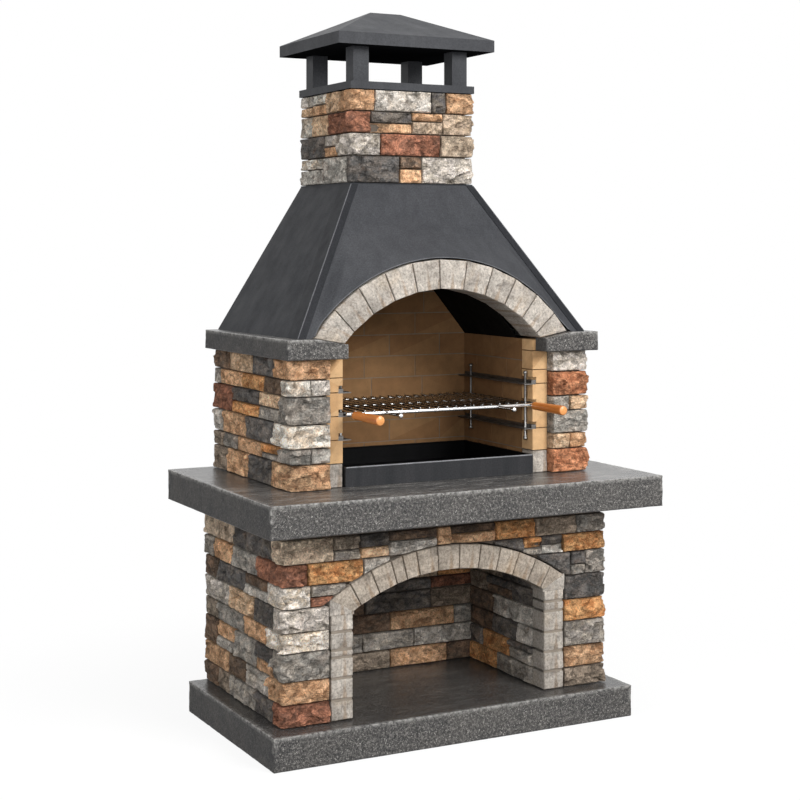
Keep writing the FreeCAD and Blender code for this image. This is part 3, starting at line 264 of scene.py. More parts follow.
def ledgestone():
    """Split stone: each stone's two colours in patches, rust stains, painted shade in hollows and painted
    light on high spots.
    """
    shader = Shader("ledgestone", 0.85, Specular_IOR_Level=0.2)
    shader.paint = shader.attribute("tint")
    patches = shader.band(shader.noise(24, 6, 0.65, (1, 1, 1.5), 0.8), 0.43, 0.60)
    shader.cover(patches, shader.attribute("patch"))
    stain = shader.band(shader.noise(15, 4, 0.55, distortion=1.2), 0.60, 0.74, 0.0, 0.22)
    shader.cover(stain, screen(150, 100, 62))
    cloud = shader.band(shader.noise(62, 8, 0.78), 0.30, 0.70, 0.66, 1.70)
    grain = shader.band(shader.noise(190, 4, 0.65), 0.3, 0.7, 0.60, 1.48)
    pits = shader.band(shader.noise(140, 3, 0.7, distortion=0.6), 0.33, 0.43, 0.58, 1.0)
    # Painted light and shade from the tint's alpha: darker in hollows and on the sides, paler on high spots
    painted_relief_shade = shader.band(shader.attribute("tint", "Alpha"), 0.05, 0.85, 0.60, 1.30)
    ridge = shader.math("SUBTRACT", shader.noise(11, 7, 0.62, (1, 1, 1.9)), 0.5)
    ridge = shader.math("ABSOLUTE", ridge)
    cracks = shader.band(ridge, 0.0, 0.010, 0.62, 1.0)
    for value in (cloud, grain, pits, painted_relief_shade, cracks):
        shader.shade(value)
    rough = shader.math("ADD", shader.noise(85, 8, 0.7), shader.noise(230, 4, 0.6))
    rough = shader.math("ADD", rough, shader.band(ridge, 0.0, 0.04, 0.0, 0.8))
    return shader.finish(rough, 1.0, 0.008, Roughness=shader.band(cloud, 0.6, 1.3, 0.78, 0.94))


def limestone():
    """Pale tooled limestone with grey strokes up each stone, brown streaks, fine pits, buff clouds and
    painted shade at its edges.
    """
    shader = Shader("limestone", 0.9, Specular_IOR_Level=0.2)
    shader.paint = screen(200, 192, 182)
    shader.cover(shader.band(shader.noise(18, 5, 0.6), 0.35, 0.65), screen(178, 169, 159))
    buff = shader.band(shader.noise(9, 3, 0.5, distortion=0.8), 0.55, 0.75, 0.0, 0.4)
    shader.cover(buff, screen(200, 180, 154))
    face = shader.attribute("patch", "Vector")
    strokes = shader.band(shader.noise(95, 5, 0.65, (1, 0.35, 1), 0.8, face), 0.36, 0.60, 0.82, 1.06)
    shader.shade(strokes)
    streaks = shader.band(shader.noise(38, 4, 0.6, (1, 0.2, 1), 0.8, face), 0.52, 0.66, 0.0, 0.55)
    shader.cover(streaks, screen(150, 124, 97))
    shader.shade(shader.band(shader.noise(130, 6, 0.75), 0.36, 0.56, 0.60, 1.12))
    # Painted shade from the tint's alpha: darker in hollows, at the rounded edges and on the sides
    shader.shade(shader.band(shader.attribute("tint", "Alpha"), 0.05, 0.6, 0.6, 1.05))
    shader.stain(shader.attribute("tint"))
    return shader.finish(shader.math("ADD", shader.noise(110, 7, 0.75), strokes), 1.0, 0.005)


def granite():
    """Dark granite: charcoal ground, top streaks of wear and painted light, grey crystals, pale flecks,
    chipped edges.
    """
    shader = Shader("granite", 0.6, Specular_IOR_Level=0.5)
    side = shader.attribute("patch", "Alpha")
    left_face_shading = shader.attribute("patch", "Fac")
    top = shader.band(side, 0.0, 0.5, 1.0, 0.0)
    wear_and_sheen = shader.times(top, shader.attribute("tint", "Fac"))
    shader.paint = screen(42, 42, 44)
    cloud = shader.band(shader.noise(11, 6, 0.65, (0.5, 1, 1), 0.7), 0.32, 0.68)
    shader.cover(cloud, screen(70, 68, 66))
    # Worn and stroke streaks on the tops are wear, made paler as painted light on the worktop
    worn_and_sheen = shader.band(shader.noise(7, 6, 0.62, (0.4, 1.3, 1), 0.5), 0.46, 0.66, 0.0, 0.6)
    shader.cover(shader.times(worn_and_sheen, wear_and_sheen), screen(122, 119, 116))
    strokes = shader.band(shader.noise(40, 5, 0.72, (0.3, 1.2, 1)), 0.50, 0.62, 0.0, 0.55)
    shader.cover(shader.times(strokes, wear_and_sheen), screen(148, 145, 141))
    dark = shader.band(shader.noise(24, 5, 0.7, (0.35, 1.2, 1), 0.6), 0.36, 0.50, 0.4, 0.0)
    shader.cover(shader.times(dark, top), screen(26, 26, 27))
    crystals = shader.band(shader.noise(130, 6, 0.85), 0.48, 0.60, 0.0, 0.85)
    # Fewer crystals and flecks on faces that look left, as painted shade
    crystals = shader.times(crystals, shader.band(side, 0.0, 1.0, 0.45, 1.0), left_face_shading)
    shader.cover(crystals, screen(128, 125, 121))
    flecks = shader.band(shader.noise(210, 4, 0.8), 0.58, 0.68)
    flecks = shader.times(flecks, shader.band(side, 0.0, 1.0, 0.3, 1.0), left_face_shading)
    shader.cover(flecks, screen(206, 202, 196))
    shader.shade(shader.band(shader.noise(95, 4, 0.75, distortion=0.5), 0.32, 0.46, 0.42, 1.0))
    chips = shader.band(shader.noise(70, 5, 0.7), 0.40, 0.60)
    shader.cover(shader.times(shader.attribute("tint", "Alpha"), chips), screen(172, 170, 166))
    fine = shader.times(shader.noise(280, 3, 0.6), 0.6)
    rough = shader.math("ADD", shader.noise(110, 6, 0.75), fine)
    rough = shader.times(rough, shader.band(side, 0.0, 1.0, 0.17, 1.0))
    return shader.finish(rough, 0.85, 0.005, Roughness=shader.band(side, 0.0, 1.0, 0.26, 0.9))


def firebrick(name, pale, warm):
    """Fired clay: each brick a little different, with sandy grain and dark specks."""
    shader = Shader(name, 0.9, Specular_IOR_Level=0.15)
    shader.paint = pale
    shader.cover(shader.band(shader.geometry("Random Per Island"), 0.0, 1.0, 0.1, 0.9), warm)
    shader.shade(shader.band(shader.noise(24, 5, 0.6), 0.3, 0.7, 0.84, 1.12))
    shader.shade(shader.band(shader.noise(260, 3, 0.6), 0.28, 0.40, 0.72, 1.0))
    return shader.finish(shader.noise(220, 5, 0.65), 0.35, 0.002)


def dusty(name, dark, pale):
    """Mortar or cast block: cloudy and dusty."""
    shader = Shader(name, 0.95, Specular_IOR_Level=0.1)
    shader.paint = dark
    shader.cover(shader.band(shader.noise(30, 5, 0.65), 0.3, 0.7), pale)
    return shader.finish(shader.noise(140, 5, 0.7), 0.5, 0.003)


def painted_steel(name, dark, pale, shine, back_shade=None, dull_below=False):
    """Satin paint with a fine texture and faint upright streaks, and painted shade on faces that look down.

    A back shade is painted shade that darkens what lies behind the tray's front sheet. Paint that is
    dull below has no gloss on those downward faces.
    """
    shader = Shader(name, 0.5, Specular_IOR_Level=shine)
    shader.paint = dark
    shader.cover(shader.band(shader.noise(26, 4, 0.6, (1, 1, 0.12)), 0.3, 0.7), pale)
    shader.shade(shader.band(shader.noise(220, 4, 0.65), 0.3, 0.7, 0.72, 1.28))
    # Faces that look down get painted shade: their paint is darkened to a quarter
    not_facing_down = shader.band(shader.part(shader.geometry("Normal"), "Z"), -0.9, -0.6)
    shader.shade(shader.band(not_facing_down, 0.0, 1.0, 0.25, 1.0))
    if back_shade is not None:
        # Painted shade inside the tray, behind its front sheet
        behind = shader.part(shader.coordinates, "Y")
        shader.shade(shader.band(behind, TRAY_INSIDE_Y - TRAY_SHADE_BLEND, TRAY_INSIDE_Y, 1.0, back_shade))
    if dull_below:
        shader.surface(Specular_IOR_Level=shader.times(not_facing_down, shine))
    gloss = shader.band(shader.noise(14, 4, 0.6), 0.3, 0.7, 0.40, 0.54)
    return shader.finish(shader.noise(260, 3, 0.5), 0.2, 0.0008, Roughness=gloss)


def bare_steel(name, colour_low, colour_high, rough_low, rough_high):
    """Bare or plated metal with fine draw lines and uneven gloss."""
    shader = Shader(name, rough_low, 1.0)
    lines = shader.noise(160, 4, 0.6, (0.2, 0.2, 1))
    shader.paint = colour_low
    shader.cover(shader.band(lines, 0.3, 0.7), colour_high)
    gloss = shader.band(shader.noise(40, 4, 0.6), 0.3, 0.7, rough_low, rough_high)
    return shader.finish(lines, 0.06, 0.0005, Roughness=gloss)


def varnished_wood():
    """Varnished wood with grain along the handle and paler end grain."""
    shader = Shader("varnished_wood", 0.4, Coat_Weight=0.25, Coat_Roughness=0.25)
    grain = shader.noise(90, 5, 0.65, (1, 0.07, 1), 0.7)
    shader.paint = screen(206, 128, 60)
    shader.cover(shader.band(grain, 0.35, 0.65), screen(172, 96, 40))
    shader.shade(shader.band(shader.noise(500, 2, 0.5, (1, 0.05, 1)), 0.30, 0.42, 0.75, 1.0))
    rings = shader.band(shader.noise(260, 3, 0.6), 0.35, 0.65)
    end_grain = shader.mix(rings, screen(226, 158, 92), screen(206, 132, 66))
    ends = shader.band(shader.part(shader.geometry("Normal"), "Y"), -0.95, -0.75, 1.0, 0.0)
    shader.cover(ends, end_grain)
    return shader.finish(grain, 0.1, 0.0008)


LEDGESTONE = ledgestone()
LIMESTONE = limestone()
GRANITE = granite()
# Darker copy of the jamb brick for the walls inside the firebox: painted shade
SHADED_FIREBRICK = firebrick("firebrick", screen(136, 104, 71), screen(122, 89, 59))
JAMB_BRICK = firebrick("jamb_firebrick", screen(206, 170, 127), screen(190, 150, 107))
# Dark cast block for the cores, lintel and flue block: painted shade for what shows of them in the joints
SHADED_BLOCK = dusty("shaded_cast_block", screen(58, 53, 48), screen(84, 78, 71))
BRICK_MORTAR = dusty("brick_mortar", screen(112, 102, 90), screen(134, 123, 110))
PALE_MORTAR = dusty("pale_mortar", screen(128, 119, 108), screen(152, 142, 130))
STONE_MORTAR = dusty("stone_mortar", screen(84, 76, 68), screen(108, 99, 90))
PAINTED = painted_steel("satin_charcoal", screen(53, 54, 57), screen(62, 63, 66), 0.10)
CAP_PAINT = painted_steel("cap_charcoal", screen(53, 54, 57), screen(62, 63, 66), 0.10, dull_below=True)
# Darker copy of the hood's paint for its sides, back and top plate: painted shade
SHADED_SIDE_PAINT = painted_steel("shaded_side_charcoal", screen(40, 41, 44), screen(48, 49, 52), 0.07)
STRIP_PAINT = painted_steel("strip_charcoal", screen(32, 33, 36), screen(40, 41, 44), 0.07)
SOOTED = painted_steel("sooted_sheet", screen(20, 19, 18), screen(30, 28, 26), 0.0)
# The tray's inside is darkened to 0.12 as painted shade
TRAY = painted_steel("black_sheet", screen(44, 45, 47), screen(54, 54, 56), 0.08, back_shade=0.12)
# Paler paints for the beads along edges: painted highlights
HOOD_HIGHLIGHT_PAINT = painted_steel("hood_highlight_edge", screen(76, 77, 80), screen(96, 97, 100), 0.2)
HIGHLIGHT_EDGE_PAINT = painted_steel("painted_highlight_edge", screen(104, 105, 108), screen(132, 133, 136), 0.35)
RAIL_STEEL = bare_steel("rail_steel", (0.10, 0.095, 0.09, 1), (0.19, 0.18, 0.17, 1), 0.4, 0.6)
BARE_STEEL = bare_steel("bare_steel", grey(0.20), (0.34, 0.33, 0.32, 1), 0.32, 0.5)
CHROME = bare_steel("bright_plating", grey(0.66), grey(0.80), 0.14, 0.26)
WIRE_STEEL = bare_steel("plated_wire", grey(0.22), (0.40, 0.39, 0.38, 1), 0.2, 0.36)
WOOD = varnished_wood()


# Pieces

SHARP_ANGLE = math.radians(48)
MERGE_DISTANCE = 1e-6
# How far apart the points of one CAD solid may lie and still count as one point
SOLID_MERGE = 1e-5
# Places along the end of a round bar and the radius there, as shares of its radius
DOME = ((0.0, 0.35), (0.12, 0.72), (0.35, 0.94), (0.6, 1.0))
NEARLY_UPRIGHT = 0.9


class Form:
    """Points, faces and, for stone, the two colour layers of one piece."""

    def __init__(self):
        self.points = []
        self.faces = []
        self.tints = []
        self.patches = []

    def add(self, point, tint, patch):
        self.points.append(point)
        self.tints.append(tint)
        self.patches.append(patch)
        return len(self.points) - 1

    def ring(self, centre, aside, over, radius, sides):
        for side in range(sides):
            angle = 2 * math.pi * side / sides
            self.points.append(centre + (aside * math.cos(angle) + over * math.sin(angle)) * radius)

    def join_rings(self, count, sides):
        """Faces between the last rings and over both ends of their row."""
        first = len(self.points) - count * sides
        last = len(self.points) - sides
        for low in range(first, last, sides):
            for side in range(sides):
                after = (side + 1) % sides
                self.faces.append((low + side, low + after, low + sides + after, low + sides + side))
        for end in (first, last):
            self.faces.append(tuple(range(end, end + sides)))

    def tube(self, path, radius, sides):
        """A round bead along a path that never runs straight to the front."""
        for index, place in enumerate(path):
            way = (path[min(index + 1, len(path) - 1)] - path[max(index - 1, 0)]).normalized()
            aside = way.cross(BACKWARD).normalized()
            self.ring(place, aside, aside.cross(way), radius, sides)
        self.join_rings(len(path), sides)

    def lathe(self, start, way, steps, sides):
        """A round form. Its steps are places along the axis, each with the radius there."""
        over = way.cross(UP if abs(way.z) < NEARLY_UPRIGHT else ACROSS).normalized()
        aside = over.cross(way)
        for along, radius in steps:
            self.ring(start + way * along, aside, over, radius, sides)
        self.join_rings(len(steps), sides)

    def bar(self, start, end, radius, sides):
        """A round bar with softly domed ends."""
        way = Vector(end) - Vector(start)
        steps = [(radius * along, radius * share) for along, share in DOME]
        steps += [(way.length - along, width) for along, width in reversed(steps)]
        self.lathe(Vector(start), way.normalized(), steps, sides)

    def finish(self, name, material, slot, body, *nodes):
        """Makes the piece with clean normals, on its body and in place of the CAD nodes given."""
        mesh = bpy.data.meshes.new(name)
        mesh.from_pydata(self.points, [], self.faces)
        for layer, values in (("tint", self.tints), ("patch", self.patches)):
            if values:
                attribute = mesh.attributes.new(layer, "FLOAT_COLOR", "POINT")
                attribute.data.foreach_set("color", [channel for value in values for channel in value])
        shape = bmesh.new()
        shape.from_mesh(mesh)
        bmesh.ops.remove_doubles(shape, verts=shape.verts, dist=MERGE_DISTANCE)
        bmesh.ops.dissolve_degenerate(shape, edges=shape.edges, dist=MERGE_DISTANCE)
        bmesh.ops.recalc_face_normals(shape, faces=shape.faces)
        shape.to_mesh(mesh)
        shape.free()
        mesh.polygons.foreach_set("use_smooth", [True] * len(mesh.polygons))
        mesh.set_sharp_from_angle(angle=SHARP_ANGLE)
        mesh.materials.append(material)
        piece = bpy.data.objects.new(name, mesh)
        bpy.context.collection.objects.link(piece)
        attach(piece, body)
        if nodes:
            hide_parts(*nodes)


def node_box(node):
    """Lowest and highest corner of a CAD node."""
    low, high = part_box(node)
    return Vector(low), Vector(high)


def solids(node):
    """Lowest and highest corner of each separate solid of a CAD node."""
    shape = bmesh.new()
    shape.from_mesh(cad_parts[node].data)
    bmesh.ops.remove_doubles(shape, verts=shape.verts, dist=SOLID_MERGE)
    seen = set()
    boxes = []
    for first in shape.verts:
        if first in seen:
            continue
        seen.add(first)
        group = [first]
        for vertex in group:
            for edge in vertex.link_edges:
                other = edge.other_vert(vertex)
                if other not in seen:
                    seen.add(other)
                    group.append(other)
        low = Vector([min(vertex.co[axis] for vertex in group) for axis in range(3)])
        high = Vector([max(vertex.co[axis] for vertex in group) for axis in range(3)])
        boxes.append((low, high))
    shape.free()
    return boxes


# Worked stones

# How a stone is worked: grid step, rounding of its edges, and relief in metres
Look = namedtuple("Look", "step rounding wobble facet_area facet_lift facet_slope roughness bulge proud")
SPLIT = Look(0.0042, 0.0046, 0.0018, 0.0006, 0.0044, 0.41, 0.0018, 0.0034, 0.0026)
FLAT_SPLIT = Look(0.0045, 0.0046, 0.0018, 0.0008, 0.0028, 0.26, 0.0015, 0.0026, 0.0022)
PLAIN_SPLIT = Look(0.0085, 0.0050, 0.0020, 0.0012, 0.0028, 0.22, 0.0014, 0.0030, 0.0024)
PECKED = Look(0.0055, 0.0026, 0.0008, 0.0010, 0.0014, 0.09, 0.0010, 0.0008, 0.0008)
POINTED = Look(0.0120, 0.0008, 0.0, 0.0100, 0.0002, 0.004, 0.0003, 0.0, 0.0)

# Shares of red, green and blue that a plain stone keeps
NEUTRAL = (1.0, 1.0, 1.0)


def spacing(length, step):
    """Grid lines across a stone, closer together at its two edges."""
    scale = min(1.0, length / (EDGE_ROOM * EDGE_STEPS[-1]))
    near = [edge * scale for edge in EDGE_STEPS]
    inner = length - 2 * near[-1]
    count = max(1, round(inner / step))
    middle = [near[-1] + inner * index / count for index in range(1, count)]
    return near + middle + [length - edge for edge in reversed(near)]


def make_facets(rng, width, height, look):
    """Centres, heights and tilts of the chiselled facets of one stone."""
    facets = []
    for _ in range(max(FEWEST_FACETS, round(width * height / look.facet_area))):
        centre = (rng.uniform(0, width), rng.uniform(0, height))
        lift = rng.uniform(-1, 1) * look.facet_lift
        facets.append((*centre, lift, rng.uniform(-1, 1) * look.facet_slope,
                       rng.uniform(-1, 1) * look.facet_slope))
    return facets


def facet_height(facets, s, t):
    """Height of the nearest facet, run into the next one close to their ledge."""
    nearest = None
    second = None
    for centre_s, centre_t, lift, slope_s, slope_t in facets:
        across = s - centre_s
        up = (t - centre_t) * FACET_STRETCH
        distance = math.sqrt(across * across + up * up)
        height = lift + slope_s * (s - centre_s) + slope_t * (t - centre_t)
        if nearest is None or distance < nearest[0]:
            second = nearest
            nearest = (distance, height)
        elif second is None or distance < second[0]:
            second = (distance, height)
    share = 0.5 + 0.5 * min(1.0, (second[0] - nearest[0]) / FACET_BLEND)
    return nearest[1] * share + second[1] * (1 - share)


def rim(faces):
    """Points round the open edge of some faces, one after another."""
    edges = {}
    for face in faces:
        for start, finish in zip(face, face[1:] + face[:1]):
            if edges.pop((finish, start), None) is None:
                edges[(start, finish)] = True
    after = dict(edges.keys())
    loop = [next(iter(after))]
    while after[loop[-1]] != loop[0]:
        loop.append(after[loop[-1]])
    return loop


def lay_stone(form, place, width, height, depth_at, look, rng, tint, patch, clip=None):
    """One worked stone: a chiselled face, rounded edges, sides back to its bed, and a back.

    A stone without a second colour keeps its places across and up in that layer instead.
    """
    facets = make_facets(rng, width, height, look)
    proud = rng.uniform(LEAST_PROUD, 1.0) * look.proud
    seed = Vector([rng.uniform(0, SEED_REACH) for _ in range(3)])
    rounding = min(look.rounding, LARGEST_ROUNDING * height, LARGEST_ROUNDING * width)
    places = {}

    def add(s, t, out, light):
        index = form.add(place(s, t, out), (*tint, light), (*(patch or (s, t, 0)), 1.0))
        places[index] = (s, t, out)
        return index

    grid = []
    cut = set()
    for t0 in spacing(height, look.step):
        line = []
        for s0 in spacing(width, look.step):
            s, t, off, inside = clip(s0, t0) if clip else (s0, t0, 1.0, False)
            side = max(0.0, 1 - min(s, width - s) / rounding)
            end = max(0.0, 1 - min(t, height - t) / rounding)
            arc = max(0.0, 1 - off / rounding)
            round_share = min(1.0, math.sqrt(side * side + end * end + arc * arc))
            drop = rounding * (1 - math.sqrt(1 - round_share * round_share))
            fade = 1 - round_share
            where = seed + Vector((s, t, 0)) * WAVE_SCALE
            wave = 0.5 + 0.5 * noise.noise(where)
            s += look.wobble * side * wave * (1 if s < width / 2 else -1)
            t += look.wobble * end * (1 - wave) * (1 if t < height / 2 else -1)
            relief = facet_height(facets, s, t)
            relief += look.roughness * noise.fractal(where * ROUGH_SCALE, *ROUGH_FRACTAL)
            crown = (1 - (2 * s / width - 1) ** 2) * (1 - (2 * t / height - 1) ** 2)
            out = proud + look.bulge * crown + relief * (EDGE_RELIEF + (1 - EDGE_RELIEF) * fade) - drop
            # Painted light and shade from the relief: paler on high spots, darker in hollows and at the
            # rounded edges, kept in the tint's alpha
            light = 0.5 + relief / (RELIEF_RANGE * (look.facet_lift + look.roughness))
            light = min(1.0, max(0.0, light))
            light *= EDGE_PAINTED_LIGHT + (1 - EDGE_PAINTED_LIGHT) * min(1.0, EDGE_PAINTED_LIGHT_GAIN * fade)
            line.append(add(s, t, out, light))
            if inside:
                cut.add(line[-1])
        grid.append(line)
    faces = []
    for low, high in zip(grid, grid[1:]):
        for column in range(len(low) - 1):
            face = (low[column], low[column + 1], high[column + 1], high[column])
            if not cut.issuperset(face):
                faces.append(face)
    form.faces += faces
    loop = rim(faces)
    last = loop
    for share in SKIRT_SHARES:
        ring = []
        for index in loop:
            s, t, out = places[index]
            ring.append(add(s, t, out + (-depth_at(s) - out) * share, SKIRT_PAINTED_SHADE))
        for step in range(len(loop)):
            following = (step + 1) % len(loop)
            form.faces.append((last[following], last[step], ring[step], ring[following]))
        last = ring
    form.faces.append(tuple(last))


# Facing stones

def colours(rng, kind):
    """The two colours of one stone, a little lighter or darker than its kind."""
    shade = rng.uniform(*SHADES)
    warm = rng.uniform(*WARMTHS)
    tint, spot = ([channel * shade for channel in screen(*colour)[:3]] for colour in KINDS[kind])
    tint[0] *= warm
    spot[2] /= warm
    return tint, spot


def wall_ways(way):
    """The way out of a wall's face and the way along it."""
    return Vector((*way, 0)), BACKWARD if way[0] else ACROSS


def flat_place(origin, along, out):
    """Places points of a stone on a flat wall face."""
    def place(s, t, h):
        return origin + along * s + Vector((0, 0, t)) + out * h
    return place


def corner_place(corner, front_way, turn, bed):
    """Places points of a stone that turns a corner, first along the side and then along the front."""
    front_out = -BACKWARD
    side_out = -front_way
    diagonal = front_out + side_out

    def place(s, t, h):
        e = s - turn
        inward = max(0.0, -h)
        if e >= 0:
            point = corner + front_way * max(e, inward * VENEER / bed) + front_out * h
        else:
            point = corner + BACKWARD * max(-e, inward * bed / VENEER) + side_out * h
        near = max(0.0, 1 - abs(e) / CORNER_ROUNDING)
        inset = CORNER_INSET * CORNER_ROUNDING * near * near * max(0.0, 1 - inward / CORNER_INSET_DEPTH)
        return point - diagonal * inset + Vector((0, 0, t))
    return place


def flat_stone(form, box, way, look, rng, kind, clip=None):
    """A stone on a flat wall face that looks along one of the four ways."""
    tint, patch = colours(rng, kind)
    out, along = wall_ways(way)
    growth = (along + UP) * STONE_GROWTH
    low = box[0] - growth
    high = box[1] + growth
    origin = Vector((high.x if way[0] > 0 else low.x, high.y if way[1] > 0 else low.y, low.z))
    size = high - low
    depth = abs(size.dot(out))
    lay_stone(form, flat_place(origin, along, out), size.dot(along), size.z, lambda s: depth,
              look, rng, tint, patch, clip)


def corner_stone(form, box, side, bed, look, rng, kind):
    """A stone round a front corner of a wall. Side is -1 at the left and 1 at the right."""
    tint, patch = colours(rng, kind)
    low, high = box
    corner = Vector((high.x if side > 0 else low.x, low.y, low.z - STONE_GROWTH))
    turn = high.y - low.y + STONE_GROWTH
    front = high.x - low.x + STONE_GROWTH
    place = corner_place(corner, Vector((-side, 0, 0)), turn, bed)
    lay_stone(form, place, turn + front, high.z - low.z + 2 * STONE_GROWTH,
              lambda s: bed if s >= turn else VENEER, look, rng, tint, patch)


def store_clip(low):
    """Keeps a stone's points out of the ring of the store's arch and off its jambs."""
    def clip(s, t):
        x = low.x + s - STONE_GROWTH
        z = low.z + t - STONE_GROWTH
        radius = math.hypot(x, z - STORE_CENTRE_Z)
        inside = radius < STORE_OUTER
        if inside:
            x *= STORE_OUTER / radius
            z = STORE_CENTRE_Z + (z - STORE_CENTRE_Z) * STORE_OUTER / radius
        elif abs(x) < STORE_SKEW_X and z < STORE_SKEW_Z:
            x = math.copysign(STORE_SKEW_X, x)
            inside = True
        return (x - low.x + STONE_GROWTH, z - low.z + STONE_GROWTH,
                max(0.0, radius - STORE_OUTER), inside)
    return clip


def by_course(boxes, along):
    """Boxes course by course from the bottom. In each course the upper stones of pairs come last."""
    lines = []
    for low, high in sorted(boxes, key=lambda box: box[0].z):
        crossed = any(other[0].z < low.z - COURSE_SLACK and other[1].z > low.z + COURSE_SLACK
                      for other in boxes)
        if not crossed and (not lines or low.z - lines[-1] > COURSE_SLACK):
            lines.append(low.z)

    def rank(box):
        line = max(z for z in lines if z <= box[0].z + COURSE_SLACK)
        return line, box[0].z - line > COURSE_SLACK, along(box)
    return sorted(boxes, key=rank)


# Mortar: how far it lies behind the faces, its material and its slot
BRICK_BED = (0.0015, BRICK_MORTAR, "firebrick")
PALE_BED = (0.003, PALE_MORTAR, "limestone")
STONE_BED = (0.015, STONE_MORTAR, "ledgestone")
# How much further a bed stops short of the worn corner of two walls
STONE_BED_SHORT = 0.008
MORTAR_DEPTH = 0.006
LINING_HALF = 0.340
ANY_WIDTH = 1.0


def mortar_bed(name, nodes, way, bed, clip_side=0, half_width=ANY_WIDTH, short=0.0):
    """Mortar behind the faces that some nodes turn one way, seen only in their joints.

    The bed stops at its recess, and short of it if so told, at its two ends.
    A clip side is a half of the store's front.
    """
    recess, material, slot = bed
    boxes = [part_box(node) for node in nodes]
    low = Vector([min(box[0][axis] for box in boxes) for axis in range(3)])
    high = Vector([max(box[1][axis] for box in boxes) for axis in range(3)])
    axis = 0 if way[0] else 1
    other = 1 - axis
    face = high[axis] - recess if way[axis] > 0 else low[axis] + recess
    low[axis] = face
    high[axis] = face
    low[other] = max(low[other] + recess + short, -half_width)
    high[other] = min(high[other] - recess - short, half_width)
    clip = None
    if clip_side:
        low.x = max(low.x, 0.0) if clip_side > 0 else low.x
        high.x = min(high.x, 0.0) if clip_side < 0 else high.x
        clip = store_clip(low + Vector((STONE_GROWTH, 0, STONE_GROWTH)))
    form = Form()
    out, along = wall_ways(way)
    size = high - low
    lay_stone(form, flat_place(low, along, out), size.dot(along), size.z, lambda s: MORTAR_DEPTH,
              POINTED, random.Random(name), NEUTRAL, NEUTRAL, clip)
    form.finish(name, material, slot, "masonry")


def with_kinds(boxes, kinds, rng):
    """Each box with the kind of its stone: the kinds listed come first, then any kind."""
    words = kinds.split()
    for index, box in enumerate(boxes):
        yield box, words[index] if index < len(words) else rng.choice(ANY_KIND)


def finish_wall(form, node):
    form.finish("worked_" + node, LEDGESTONE, "ledgestone", "masonry", node)


def stone_wall(node, way, look, corner=None, kinds="", from_back=False):
    """Replaces a flat faced wall by worked stones, with mortar that runs on behind its corner stones.

    The kinds are listed from the wall's front or left end, or from its back end if so told.
    """
    form = Form()
    rng = random.Random(node)
    axis = 1 if way[0] else 0
    turn = -1 if from_back else 1
    boxes = by_course(solids(node), lambda box: turn * box[0][axis])
    for box, kind in with_kinds(boxes, kinds, rng):
        flat_stone(form, box, way, look, rng, kind)
    finish_wall(form, node)
    nodes = [node, corner] if corner else [node]
    name = node.rsplit("_", 1)[0] + "_mortar"
    mortar_bed(name, nodes, way, STONE_BED, short=STONE_BED_SHORT)


def corner_stack(node, front, sides, bed, kinds):
    """Replaces a node of corner stones, with the flat stones between them and the front's mortar."""
    form = Form()
    rng = random.Random(node)
    node_low, node_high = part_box(node)
    turn = 1 if -1 in sides else -1
    boxes = by_course(solids(node), lambda box: turn * box[0].x)
    for box, kind in with_kinds(boxes, kinds, rng):
        if -1 in sides and box[0].x - node_low[0] < SAME_PLACE:
            corner_stone(form, box, -1, bed, SPLIT, rng, kind)
        elif 1 in sides and node_high[0] - box[1].x < SAME_PLACE:
            corner_stone(form, box, 1, bed, SPLIT, rng, kind)
        else:
            flat_stone(form, box, FRONT, SPLIT, rng, kind)
    finish_wall(form, node)
    mortar_bed(front + "_mortar", [node], FRONT, STONE_BED, short=STONE_BED_SHORT)


def spandrel_stones(node, halves):
    """Replaces the stones over the store's arch, half by half from each corner, with their mortar."""
    form = Form()
    rng = random.Random(node)
    boxes = solids(node)
    for name, side, kinds in halves:
        half = [box for box in boxes if (box[0].x + box[1].x) * side > 0]
        half = by_course(half, lambda box: -side * (box[0].x + box[1].x))
        for box, kind in with_kinds(half, kinds, rng):
            flat_stone(form, box, FRONT, SPLIT, rng, kind, store_clip(box[0]))
        mortar_bed("spandrel_%s_mortar" % name, [node], FRONT, STONE_BED, clip_side=side)
    finish_wall(form, node)


# Walls, with the kinds of the stones that the photograph shows: course by course from the bottom, from
# the front corner along the wall. Where a course has thin pairs, the upper ones follow as their own row.

stone_wall("lower_left_ledgestones", LEFT, FLAT_SPLIT, "lower_front_left_quoins", kinds="""
    dark grey ash brown  light brown tan  grey  tan grey light brown  dark tan  tan grey ash
    dark peach light  light dark brown  brown  rust grey tan grey  dark dark beige beige
    grey brown grey""")
stone_wall("lower_right_ledgestones", RIGHT, PLAIN_SPLIT, "lower_front_right_quoins")
stone_wall("lower_back_ledgestones", BACK, PLAIN_SPLIT)
stone_wall("store_left_stones", RIGHT, PLAIN_SPLIT)
stone_wall("store_right_stones", LEFT, PLAIN_SPLIT, from_back=True, kinds="""
    orange grey  dark orange grey  dark  brown dark light  brown light  ash brown dark""")
stone_wall("store_back_stones", FRONT, PLAIN_SPLIT, kinds="""
    grey ash tan brown  orange grey grey light  grey dark brown tan grey  brown brown dark ash""")
stone_wall("upper_left_ledgestones", LEFT, FLAT_SPLIT, "upper_left_quoins", kinds="""
    dark tan ash  grey tan grey ash  orange  dark tan light  grey orange rust  peach dark
    brown orange tan light  dark peach brown""")
stone_wall("upper_right_ledgestones", RIGHT, PLAIN_SPLIT, "upper_right_quoins")
stone_wall("upper_back_ledgestones", BACK, PLAIN_SPLIT)
stone_wall("chimney_left_stones", LEFT, FLAT_SPLIT, "chimney_front_stones", kinds="""
    light light  cream  tan dark  light  peach cream  peach tan peach  cream light""")
stone_wall("chimney_right_stones", RIGHT, PLAIN_SPLIT, "chimney_front_stones")
stone_wall("chimney_back_stones", BACK, PLAIN_SPLIT)
